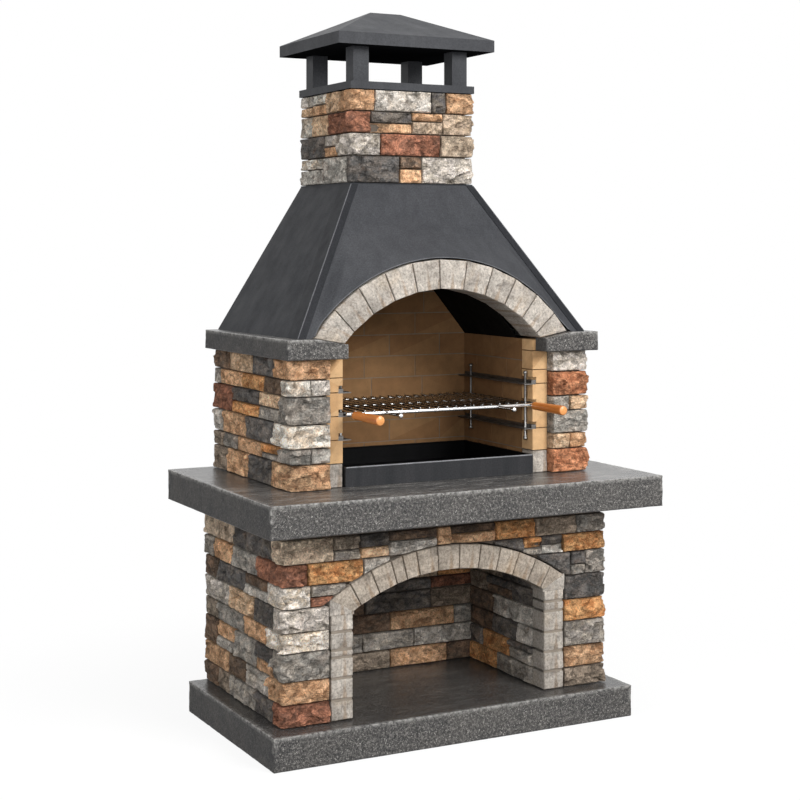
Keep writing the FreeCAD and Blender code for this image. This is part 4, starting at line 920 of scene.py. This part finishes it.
corner_stack("lower_front_left_quoins", "lower_front_left", (-1,), QUOIN_BED,
             "rust tan grey cream light cream rust beige grey")
corner_stack("lower_front_right_quoins", "lower_front_right", (1,), QUOIN_BED,
             "ash tan grey orange dark grey orange grey ash")
corner_stack("upper_left_quoins", "upper_front_left", (-1,), QUOIN_BED,
             "tan grey light cream grey cream light tan")
corner_stack("upper_right_quoins", "upper_front_right", (1,), QUOIN_BED,
             "russet tan peach grey peach grey russet light")
corner_stack("chimney_front_stones", "chimney_front", (-1, 1), VENEER, """
    dark tan light  brown  light rust beige  rust tan beige beige  dark tan  tan light dark tan""")
spandrel_stones("lower_spandrel_stones", (
    ("left", -1, "rust  grey  orange light  grey peach light  ash dark brown tan  brown dark ash"),
    ("right", 1, "grey dark  dark  light grey  dark orange dark  ash orange tan  brown  grey brown dark")))
for side, way, half_width in (("back", FRONT, LINING_HALF), ("left", RIGHT, ANY_WIDTH),
                              ("right", LEFT, ANY_WIDTH)):
    mortar_bed("brick_%s_mortar" % side, ["firebrick_%s_wall" % side], way, BRICK_BED,
               half_width=half_width)


# Pale arch stones and jamb blocks

STORE_ARCH_WARMTH = (0.95, 0.90, 0.84)
FRONT_SLACK = 1e-5
CORNER_DIGITS = 5


def front_outlines(node, centre_z):
    """Corners of each separate flat face that a CAD node turns to the front.

    They go round from the lower left one. Round an arch, up is away from its centre.
    """
    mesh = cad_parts[node].data
    front = min(vertex.co.y for vertex in mesh.vertices)
    groups = []
    for polygon in mesh.polygons:
        corners = [mesh.vertices[index].co for index in polygon.vertices]
        if all(corner.y - front < FRONT_SLACK for corner in corners):
            keys = {(round(corner.x, CORNER_DIGITS), round(corner.z, CORNER_DIGITS)) for corner in corners}
            for group in [group for group in groups if group & keys]:
                keys |= group
                groups.remove(group)
            groups.append(keys)
    outlines = []
    for group in groups:
        middle_x = sum(x for x, z in group) / len(group)
        middle_z = sum(z for x, z in group) / len(group)
        lean = math.atan2(middle_x, middle_z - centre_z) if centre_z is not None else 0.0

        def bearing(corner):
            angle = math.atan2(corner[1] - middle_z, corner[0] - middle_x) + lean
            return (angle + math.pi) % (2 * math.pi)
        outlines.append(sorted(group, key=bearing))
    return front, outlines


def grown(outline, distance):
    """A convex outline with all its edges moved outward by a distance."""
    lines = []
    for (x0, z0), (x1, z1) in zip(outline, outline[1:] + outline[:1]):
        length = math.hypot(x1 - x0, z1 - z0)
        out_x = (z1 - z0) / length
        out_z = -(x1 - x0) / length
        lines.append((out_x, out_z, out_x * x0 + out_z * z0 + distance))
    corners = []
    for (a0, b0, c0), (a1, b1, c1) in zip(lines[-1:] + lines[:-1], lines):
        determinant = a0 * b1 - a1 * b0
        corners.append(((c0 * b1 - c1 * b0) / determinant, (a0 * c1 - a1 * c0) / determinant))
    return corners


def quad_place(corners, front, width, height):
    """Places points of a four-cornered stone that looks to the front."""
    def place(s, t, h):
        u = s / width
        v = t / height
        shares = ((1 - u) * (1 - v), u * (1 - v), u * v, (1 - u) * v)
        x = sum(share * corner[0] for share, corner in zip(shares, corners))
        z = sum(share * corner[1] for share, corner in zip(shares, corners))
        return Vector((x, front - h, z))
    return place


def pale_stones(node, eased=CAD_STONE_EASE, centre_z=None, warmth=NEUTRAL):
    """Replaces arch stones or jamb blocks by pecked ones. Eased is the CAD's chamfer on their faces."""
    form = Form()
    rng = random.Random(node)
    low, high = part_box(node)
    depth = high[1] - low[1]
    front, outlines = front_outlines(node, centre_z)
    for outline in outlines:
        corners = grown(outline, eased - PALE_JOINT_HALF)
        width = (math.dist(corners[0], corners[1]) + math.dist(corners[2], corners[3])) / 2
        height = (math.dist(corners[1], corners[2]) + math.dist(corners[3], corners[0])) / 2
        shade = rng.uniform(*PALE_SHADES)
        tint = [shade * channel for channel in warmth]
        lay_stone(form, quad_place(corners, front, width, height), width, height, lambda s: depth,
                  PECKED, rng, tint, None)
    form.finish("pecked_" + node, LIMESTONE, "limestone", "masonry", node)


pale_stones("store_arch_stones", centre_z=STORE_CENTRE_Z, warmth=STORE_ARCH_WARMTH)
for side in ("left", "right"):
    blocks = "store_%s_jamb_blocks" % side
    pale_stones(blocks)
    mortar_bed("store_%s_jamb_mortar" % side, [blocks], FRONT, PALE_BED)
pale_stones("fire_arch_stones", centre_z=FIRE_CENTRE_Z)
pale_stones("jamb_base_blocks", eased=PALE_JOINT_HALF)


# Granite slabs

# Share of crystals and flecks kept on faces that look left, darker as painted shade, and how far left a
# face must look
LEFT_FACE_SHADE = 0.3
LEFT_FACE_WAY = -0.7
# Share of pale streaks on the tops, which stand for wear and painted light; the plinth's top, in the store,
# gets few as painted shade
FULL_WEAR_AND_SHEEN = 1.0
PLINTH_SHADED_WEAR = 0.2
# Chips along the arrises: scale of the noise, its value where chips start, and depth
CHIPS = ((40, 0.2, 0.009), (95, 0.15, 0.006))
TOP_ARRIS = 0.0032
FOOT_ARRIS = 0.0030
PALE_EDGE = 0.012
TOP_ROUGHNESS = 0.15
SLAB_SCALE = 26
SLAB_FRACTAL = (0.7, 2.2, 5)
CUT_MARGIN = 0.001
CUT_CLEARANCE = 0.003
# Grid steps along the top and up the sides, and roughness of the sides
THICK_SLAB = (0.013, 0.008, 0.0022)
MANTEL_SIDE = (0.010, 0.007, 0.0020)
MANTEL_BACK = (0.012, 0.008, 0.0020)
# Corners of a grid cell, one after another
QUAD = ((0, 0), (1, 0), (1, 1), (0, 1))


def slab_corner(point, low, high, rough, seat):
    """A point of a plain slab moved to the worked surface, with its shares of left-face painted shade, edge
    and upright.
    """
    chip = sum(max(0.0, noise.noise(point * scale) - start) * depth for scale, start, depth in CHIPS)
    middle = (low.z + high.z) / 2
    radius = TOP_ARRIS + chip if point.z > middle else FOOT_ARRIS + chip / 2
    inner = Vector([min(max(point[axis], low[axis] + radius), high[axis] - radius) for axis in range(3)])
    way = (point - inner).normalized()
    point = inner + way * radius
    upright = 1.0 - abs(way.z)
    depth = rough * (TOP_ROUGHNESS + (1 - TOP_ROUGHNESS) * upright)
    depth *= 0.5 + 0.5 * noise.fractal(point * SLAB_SCALE, *SLAB_FRACTAL)
    point -= way * max(0.0, depth)
    if seat and point.y < SEAT_BACK_Y and abs(point.x) < SEAT_OUTER_X:
        share = (abs(point.x) - SEAT_INNER_X) / (SEAT_OUTER_X - SEAT_INNER_X)
        point.z = min(point.z, SEAT_INNER_Z + share * (SEAT_OUTER_Z - SEAT_INNER_Z))
    near = sorted(min(point[axis] - low[axis], high[axis] - point[axis]) for axis in range(3))
    edge = max(0.0, 1 - near[1] / PALE_EDGE) if point.z > middle else 0.0
    # Faces that look left keep fewer crystals and flecks: painted shade
    left_face_shading = LEFT_FACE_SHADE if way.x < LEFT_FACE_WAY else 1.0
    return point, left_face_shading, edge, upright


def slab(node, work, wear_and_sheen=FULL_WEAR_AND_SHEEN, seat=False, notch=None):
    """Replaces a slab by one with rough sides, a smoother top, rounded arrises and small chips.

    Wear and sheen is how far the top is streaked with paler stone, for wear and painted light.
    A notch is a plan box, lowest and highest x and y, that is left empty from top to bottom.
    """
    step, side_step, rough = work
    low, high = node_box(node)
    lines = []
    planes = []
    for axis, spread in enumerate((step, step, side_step)):
        line = spacing(high[axis] - low[axis], spread)
        cuts = []
        if notch and axis < 2:
            cuts = [notch[end][axis] - low[axis] for end in (0, 1)]
            cuts = [cut for cut in cuts if CUT_MARGIN < cut < line[-1] - CUT_MARGIN]
            line = [place for place in line if all(abs(place - cut) > CUT_CLEARANCE for cut in cuts)]
            line = sorted(line + cuts)
        lines.append(line)
        planes.append([0, len(line) - 1] + [line.index(cut) for cut in cuts])
    counts = [len(line) for line in lines]
    form = Form()
    index_of = {}

    def filled(cell):
        if any(cell[axis] < 0 or cell[axis] >= counts[axis] - 1 for axis in range(3)):
            return False
        if not notch:
            return True
        middle = [low[axis] + (lines[axis][cell[axis]] + lines[axis][cell[axis] + 1]) / 2
                  for axis in range(2)]
        return not all(notch[0][axis] < middle[axis] < notch[1][axis] for axis in range(2))

    def corner(place):
        if place not in index_of:
            plain = Vector([low[axis] + lines[axis][place[axis]] for axis in range(3)])
            point, left_face_shading, edge, upright = slab_corner(plain, low, high, rough, seat)
            index_of[place] = form.add(point, (wear_and_sheen, wear_and_sheen, wear_and_sheen, edge), (left_face_shading, left_face_shading, left_face_shading, upright))
        return index_of[place]

    def grid_place(axis, end, first, second):
        place = [first, second]
        place.insert(axis, end)
        return tuple(place)

    for axis in range(3):
        first_count, second_count = (count - 1 for other, count in enumerate(counts) if other != axis)
        for end in planes[axis]:
            for i in range(first_count):
                for j in range(second_count):
                    if filled(grid_place(axis, end - 1, i, j)) != filled(grid_place(axis, end, i, j)):
                        places = [grid_place(axis, end, i + di, j + dj) for di, dj in QUAD]
                        form.faces.append([corner(place) for place in places])
    form.finish("rough_" + node, GRANITE, "granite", "masonry", node)


slab("worktop_slab", THICK_SLAB)
# The plinth's top gets few pale streaks as painted shade
slab("plinth_slab", THICK_SLAB, PLINTH_SHADED_WEAR)
for node, ends in (("mantel_left_slab", (-NOTCH_X, 0.0)), ("mantel_right_slab", (0.0, NOTCH_X))):
    slab(node, MANTEL_SIDE, seat=True, notch=((ends[0], NOTCH_FRONT), (ends[1], NOTCH_BACK)))
slab("mantel_back_slab", MANTEL_BACK)


# Sheet front of the hood

HOOD_HALF = 0.507
HOOD_FRONT = -0.233
HOOD_FOOT = 1.244
HOOD_HEAD = 1.719
CHIMNEY_HALF = 0.222
CHIMNEY_FRONT = -0.006
ARCH_RIM = 0.5535
ARCH_RIM_Y = -0.214
SWELL_REACH = 0.15
STRIP_WIDTH = 0.028
HOOD_SHEET = 0.003
HOOD_TURN_STEPS = 36
HOOD_CROWN_STEPS = 30
HOOD_OUT_STEPS = 30
HOOD_OUT_POWER = 1.5
HOOD_TAPER = (HOOD_HALF - CHIMNEY_HALF) / (HOOD_HEAD - HOOD_FOOT)
# Beads on its edges: radius and sides, and how far the straight ones stand off the corners
HOOD_BEAD = (0.0018, 8)
HOOD_BEAD_ASIDE = 0.0012
HOOD_BEAD_FORWARD = 0.0010
HOOD_BEAD_START = 0.002


def hood_point(angle, share):
    """A point of the hood's front, by its bearing from the arch's centre and its share of the way out."""
    across = math.sin(angle)
    up = math.cos(angle)
    start = max(ARCH_RIM, (HOOD_FOOT - FIRE_CENTRE_Z) / up)
    to_edge = (HOOD_HALF + HOOD_TAPER * (HOOD_FOOT - FIRE_CENTRE_Z)) / (abs(across) + HOOD_TAPER * up)
    end = max(min(to_edge, (HOOD_HEAD - FIRE_CENTRE_Z) / up), start)
    radius = start + (end - start) * share
    z = FIRE_CENTRE_Z + radius * up
    swell = max(0.0, 1 - (radius - ARCH_RIM) / SWELL_REACH) ** 2
    swell *= min(1.0, max(0.0, (end - radius - STRIP_WIDTH) / STRIP_WIDTH))
    y = HOOD_FRONT + (CHIMNEY_FRONT - HOOD_FRONT) * (z - HOOD_FOOT) / (HOOD_HEAD - HOOD_FOOT)
    y += min(0.0, ARCH_RIM_Y - y) * swell
    return Vector((radius * across, y, z))


def hood_angles():
    """Bearings across the hood's front, from its left foot over the crown to its right foot."""
    corner = math.atan2(HOOD_HALF, HOOD_FOOT - FIRE_CENTRE_Z)
    crown = math.atan2(CHIMNEY_HALF, HOOD_HEAD - FIRE_CENTRE_Z)
    right = [crown + (corner - crown) * step / HOOD_TURN_STEPS for step in range(1, HOOD_TURN_STEPS)]
    middle = [crown * (2 * step / HOOD_CROWN_STEPS - 1) for step in range(HOOD_CROWN_STEPS + 1)]
    return [-angle for angle in reversed(right)] + middle + right


def hood_front():
    """Replaces the front panel and its flashing by one sheet that swells out to meet the arch."""
    form = Form()
    angles = hood_angles()
    shares = [(step / HOOD_OUT_STEPS) ** HOOD_OUT_POWER for step in range(HOOD_OUT_STEPS + 1)]
    for back in (0.0, HOOD_SHEET):
        form.points += [hood_point(angle, share) + BACKWARD * back for angle in angles for share in shares]
    width = len(shares)
    layer = len(angles) * width
    last_row = layer - width
    for row in range(0, last_row, width):
        for first in range(row, row + width - 1):
            for start in (first, first + layer):
                form.faces.append((start, start + 1, start + width + 1, start + width))
    rims = [(first, first + width) for row in range(0, last_row, width) for first in (row, row + width - 1)]
    rims += [(first, first + 1) for row in (0, last_row) for first in range(row, row + width - 1)]
    for first, following in rims:
        form.faces.append((first, following, following + layer, first + layer))
    form.finish("swelling_hood_front", PAINTED, "hood_steel", "masonry", "hood_front_panel",
                "hood_arch_flashing")


def hood_beads():
    """Pale beads as painted highlights: the rolled rim round the arch and the folds at the two front
    corners.
    """
    form = Form()
    foot_z = HOOD_FOOT + HOOD_BEAD_START
    arch = [hood_point(angle, 0.0) for angle in hood_angles()]
    form.tube([place for place in arch if place.z > foot_z], *HOOD_BEAD)
    for side in (-1, 1):
        foot = Vector((side * (HOOD_HALF + HOOD_BEAD_ASIDE), HOOD_FRONT - HOOD_BEAD_FORWARD, foot_z))
        head = Vector((side * (CHIMNEY_HALF + HOOD_BEAD_ASIDE), CHIMNEY_FRONT - HOOD_BEAD_FORWARD,
                       HOOD_HEAD))
        form.tube([foot, (foot + head) / 2, head], *HOOD_BEAD)
    form.finish("hood_edge_beads", HOOD_HIGHLIGHT_PAINT, "hood_steel", "masonry")


hood_front()
hood_beads()


# Tray, turned pieces and bars

# Radius and number of sides of the bead and the bars
TRAY_BEAD = (0.0024, 10)
FRONT_BAR = (0.006, 24)
SIDE_BAR = (0.005, 20)
CROSS_BAR = (0.003, 14)
SHANK = (0.004, 16)
WIRE_SIDES = 12
TRAY_BEAD_BACK = 0.0012
TRAY_BEAD_DOWN = 0.001
TRAY_BEAD_END = 0.003
CROSS_BARS = 2
BAR_INSET = 0.007
SIDE_BAR_INSET = 0.015
SHANK_IN_HANDLE = 0.02
PRONG = 0.004
PRONG_SIDES = 20
PRONG_SPREAD = 0.2
PRONG_TIP = -0.311
# Places back from a prong's tip and the radius there
KNOB = ((0.015, PRONG), (0.0135, 0.0058), (0.0105, 0.0072), (0.0075, 0.0075), (0.0045, 0.0072),
        (0.0015, 0.0055), (0.0, 0.002))
# Places along a handle and the share of its largest radius there
HANDLE_TURNING = ((0.0, 0.66), (0.008, 0.78), (0.025, 0.83), (0.06, 0.84), (0.3, 0.87), (0.6, 0.93),
                  (0.85, 0.98), (0.955, 1.0), (0.98, 0.985), (0.993, 0.94), (1.0, 0.86))
HANDLE_SIDES = 32

# Places from each end of a tie rod and the radius there
ROD_BULB = ((0.0, 0.003), (0.0015, 0.0055), (0.004, 0.0068), (0.006, 0.007), (0.008, 0.0066),
            (0.0105, 0.0052), (0.0125, 0.004))
ROD_SIDES = 20


def tray_bead():
    """The rolled top edge of the tray's front, pale as a painted highlight."""
    form = Form()
    low, high = node_box("fire_tray")
    path = [Vector((x, low.y + TRAY_BEAD_BACK, high.z - TRAY_BEAD_DOWN))
            for x in (low.x + TRAY_BEAD_END, 0.0, high.x - TRAY_BEAD_END)]
    form.tube(path, *TRAY_BEAD)
    form.finish("tray_rim_bead", HIGHLIGHT_EDGE_PAINT, "tray_steel", "tray")


def tie_rods():
    """Upright rods that tie the rails, with a knob at each end."""
    form = Form()
    for low, high in solids("rail_tie_rods"):
        middle = (low + high) / 2
        length = high.z - low.z
        steps = list(ROD_BULB) + [(length - along, radius) for along, radius in reversed(ROD_BULB)]
        form.lathe(Vector((middle.x, middle.y, low.z)), UP, steps, ROD_SIDES)
    form.finish("round_tie_rods", BARE_STEEL, "rail_steel", "masonry", "rail_tie_rods")


def grill_wires():
    form = Form()
    for low, high in solids("grill_wires"):
        x, y, z = (low + high) / 2
        form.bar((x, low.y, z), (x, high.y, z), (high.z - low.z) / 2, WIRE_SIDES)
    form.finish("round_grill_wires", WIRE_STEEL, "grill_steel", "grill", "grill_wires")


def grill_frame():
    """Welded bars, the two prongs with their knobs, and the handles' shanks."""
    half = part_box("grill_frame")[1][0]
    wire_low, wire_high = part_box("grill_wires")
    bar_top = wire_low[2]
    z = bar_top - FRONT_BAR[0]
    front = wire_low[1] + BAR_INSET
    back = wire_high[1] - BAR_INSET
    side_x = half - SIDE_BAR_INSET
    form = Form()
    form.bar((-half, front, z), (half, front, z), *FRONT_BAR)
    for side, handle_node in ((-1, "grill_left_handle"), (1, "grill_right_handle")):
        form.bar((side * side_x, front, z), (side * side_x, back, z), *SIDE_BAR)
        tip = Vector((side * PRONG_SPREAD, PRONG_TIP, z))
        length = front - tip.y
        steps = [(0, PRONG)] + [(length - along, radius) for along, radius in KNOB]
        form.lathe(Vector((tip.x, front, z)), -BACKWARD, steps, PRONG_SIDES)
        handle_low, handle_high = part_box(handle_node)
        shank_x = (handle_low[0] + handle_high[0]) / 2
        form.bar((shank_x, front, z), (shank_x, handle_high[1] - SHANK_IN_HANDLE, z), *SHANK)
    form.finish("round_grill_frame", CHROME, "grill_steel", "grill", "grill_frame")
    form = Form()
    z = bar_top - CROSS_BAR[0]
    for index in range(CROSS_BARS):
        y = front + (back - front) * (index + 1) / CROSS_BARS
        form.bar((-side_x, y, z), (side_x, y, z), *CROSS_BAR)
    form.finish("round_grill_cross_bars", WIRE_STEEL, "grill_steel", "grill", "grill_frame")


def handle(node):
    """A turned handle in the box of the CAD's one."""
    form = Form()
    low, high = node_box(node)
    middle = (low + high) / 2
    length = high.y - low.y
    radius = (high.z - low.z) / 2
    steps = [(along * length, share * radius) for along, share in HANDLE_TURNING]
    form.lathe(Vector((middle.x, high.y, middle.z)), -BACKWARD, steps, HANDLE_SIDES)
    form.finish("turned_" + node, WOOD, "handle_wood", "grill", node)


tray_bead()
tie_rods()
grill_wires()
grill_frame()
handle("grill_left_handle")
handle("grill_right_handle")


# CAD nodes that stay, with softened edges

SOFT_SEGMENTS = 2
SOFT_ANGLE = math.radians(25)
NO_EDGE = 0.0


def keep(node, material, edge):
    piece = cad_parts[node]
    for material_slot in piece.material_slots:
        material_slot.material = material
    if edge:
        bevel = piece.modifiers.new("softened", "BEVEL")
        bevel.width = edge
        bevel.segments = SOFT_SEGMENTS
        bevel.limit_method = "ANGLE"
        bevel.angle_limit = SOFT_ANGLE
        bevel.harden_normals = False


for material, edge, nodes in (
        (SHADED_FIREBRICK, 0.0008, "firebrick_back_wall firebrick_left_wall firebrick_right_wall"),
        (JAMB_BRICK, 0.0020, "firebrick_left_jamb firebrick_right_jamb"),
        (SHADED_BLOCK, NO_EDGE, "lower_left_core lower_right_core lower_back_core lower_front_lintel"),
        (SHADED_BLOCK, NO_EDGE, "upper_left_core upper_right_core upper_back_core flue_block"),
        (SHADED_SIDE_PAINT, 0.0008, "hood_left_panel hood_right_panel hood_back_panel hood_top_plate"),
        (STRIP_PAINT, 0.0005, "hood_corner_strips"),
        (SOOTED, 0.0008, "smoke_baffles"),
        (CAP_PAINT, 0.0025, "cap_collar cap_posts cap_roof"),
        (RAIL_STEEL, 0.0006, "grill_rails_left grill_rails_right"),
        (TRAY, 0.0009, "fire_tray")):
    for node in nodes.split():
        keep(node, material, edge)


# Floor, light and camera

FLOOR_REACH = 14.0
FLOOR_Z = -0.001
FLOOR_BOUNCE = 0.30
FLOOR_GLOW = 0.90
SHADOW_WEIGHT = 0.11
SHADOW_NEAR = 0.8
SHADOW_FAR = 1.9
WORLD_LIGHT = 0.20


def distance_share(tree):
    """0 on the floor near the object, 1 where the floor runs out to plain white."""
    place = add_node(tree, "ShaderNodeTexCoord").outputs["Object"]
    length = add_node(tree, "ShaderNodeVectorMath", place)
    length.operation = "LENGTH"
    share = add_node(tree, "ShaderNodeMapRange", length.outputs["Value"], SHADOW_NEAR, SHADOW_FAR)
    share.interpolation_type = "SMOOTHSTEP"
    return share


def straight_rays(tree):
    """1 for rays that the camera, a mirror or glass sends, else 0."""
    path = add_node(tree, "ShaderNodeLightPath")
    total = path.outputs["Is Camera Ray"]
    for name in ("Is Glossy Ray", "Is Transmission Ray"):
        total = add_node(tree, "ShaderNodeMath", total, path.outputs[name])
        total.operation = "MAXIMUM"
    return total


def stage_floor():
    """A pale floor that the camera sees as white, with the object's soft shadow on it."""
    mesh = bpy.data.meshes.new("floor")
    corners = [((2 * x - 1) * FLOOR_REACH, (2 * y - 1) * FLOOR_REACH, FLOOR_Z) for x, y in QUAD]
    mesh.from_pydata(corners, [], [(0, 1, 2, 3)])
    floor = bpy.data.objects.new("floor", mesh)
    bpy.context.collection.objects.link(floor)
    material = bpy.data.materials.new("pale_floor")
    material.use_nodes = True
    tree = material.node_tree
    tree.nodes.clear()
    bounce = add_node(tree, "ShaderNodeBsdfDiffuse", Color=grey(FLOOR_BOUNCE))
    shadow = add_node(tree, "ShaderNodeBsdfDiffuse", Color=grey(SHADOW_WEIGHT))
    glow = add_node(tree, "ShaderNodeEmission", Strength=FLOOR_GLOW)
    near = add_node(tree, "ShaderNodeAddShader", shadow, glow)
    white = add_node(tree, "ShaderNodeEmission")
    seen = add_node(tree, "ShaderNodeMixShader", distance_share(tree), near, white)
    mixed = add_node(tree, "ShaderNodeMixShader", straight_rays(tree), bounce, seen)
    add_node(tree, "ShaderNodeOutputMaterial", mixed)
    mesh.materials.append(material)


def white_world():
    """A world that is white to look at and weaker as a light."""
    world = bpy.data.worlds.new("white")
    bpy.context.scene.world = world
    world.use_nodes = True
    tree = world.node_tree
    background = tree.nodes["Background"]
    background.inputs["Color"].default_value = grey(1.0)
    strength = add_node(tree, "ShaderNodeMapRange", straight_rays(tree), 0.0, 1.0, WORLD_LIGHT, 1.0)
    feed(tree, background.inputs["Strength"], strength)


def softbox(name, place, target, width, height, power):
    light = bpy.data.lights.new(name, "AREA")
    light.shape = "RECTANGLE"
    light.size = width
    light.size_y = height
    light.energy = power
    lamp = bpy.data.objects.new(name, light)
    lamp.location = place
    way = Vector(target) - Vector(place)
    lamp.rotation_euler = way.to_track_quat("-Z", "Y").to_euler()
    bpy.context.collection.objects.link(lamp)


stage_floor()
white_world()
softbox("key", (1.7, -5.3, 3.9), (0.0, 0.0, 1.1), 2.4, 2.4, 375)
softbox("front_fill", (-2.9, -5.6, 2.0), (0.0, 0.0, 1.1), 2.2, 2.2, 100)
softbox("top", (0.0, -0.6, 6.0), (0.0, 0.0, 1.0), 3.0, 3.0, 100)
softbox("left_fill", (-5.0, -1.5, 2.6), (0.0, 0.0, 1.0), 2.5, 3.0, 105)

lens = bpy.data.cameras.new("camera")
lens.sensor_width = CAMERA_SENSOR
lens.lens = CAMERA_LENS
lens.shift_y = CAMERA_SHIFT_Y
camera = bpy.data.objects.new("camera", lens)
camera.location = CAMERA_PLACE
camera.rotation_euler = (math.radians(90), 0, CAMERA_TURN)
bpy.context.collection.objects.link(camera)
bpy.context.scene.camera = camera
bpy.context.scene.view_settings.view_transform = "Standard"
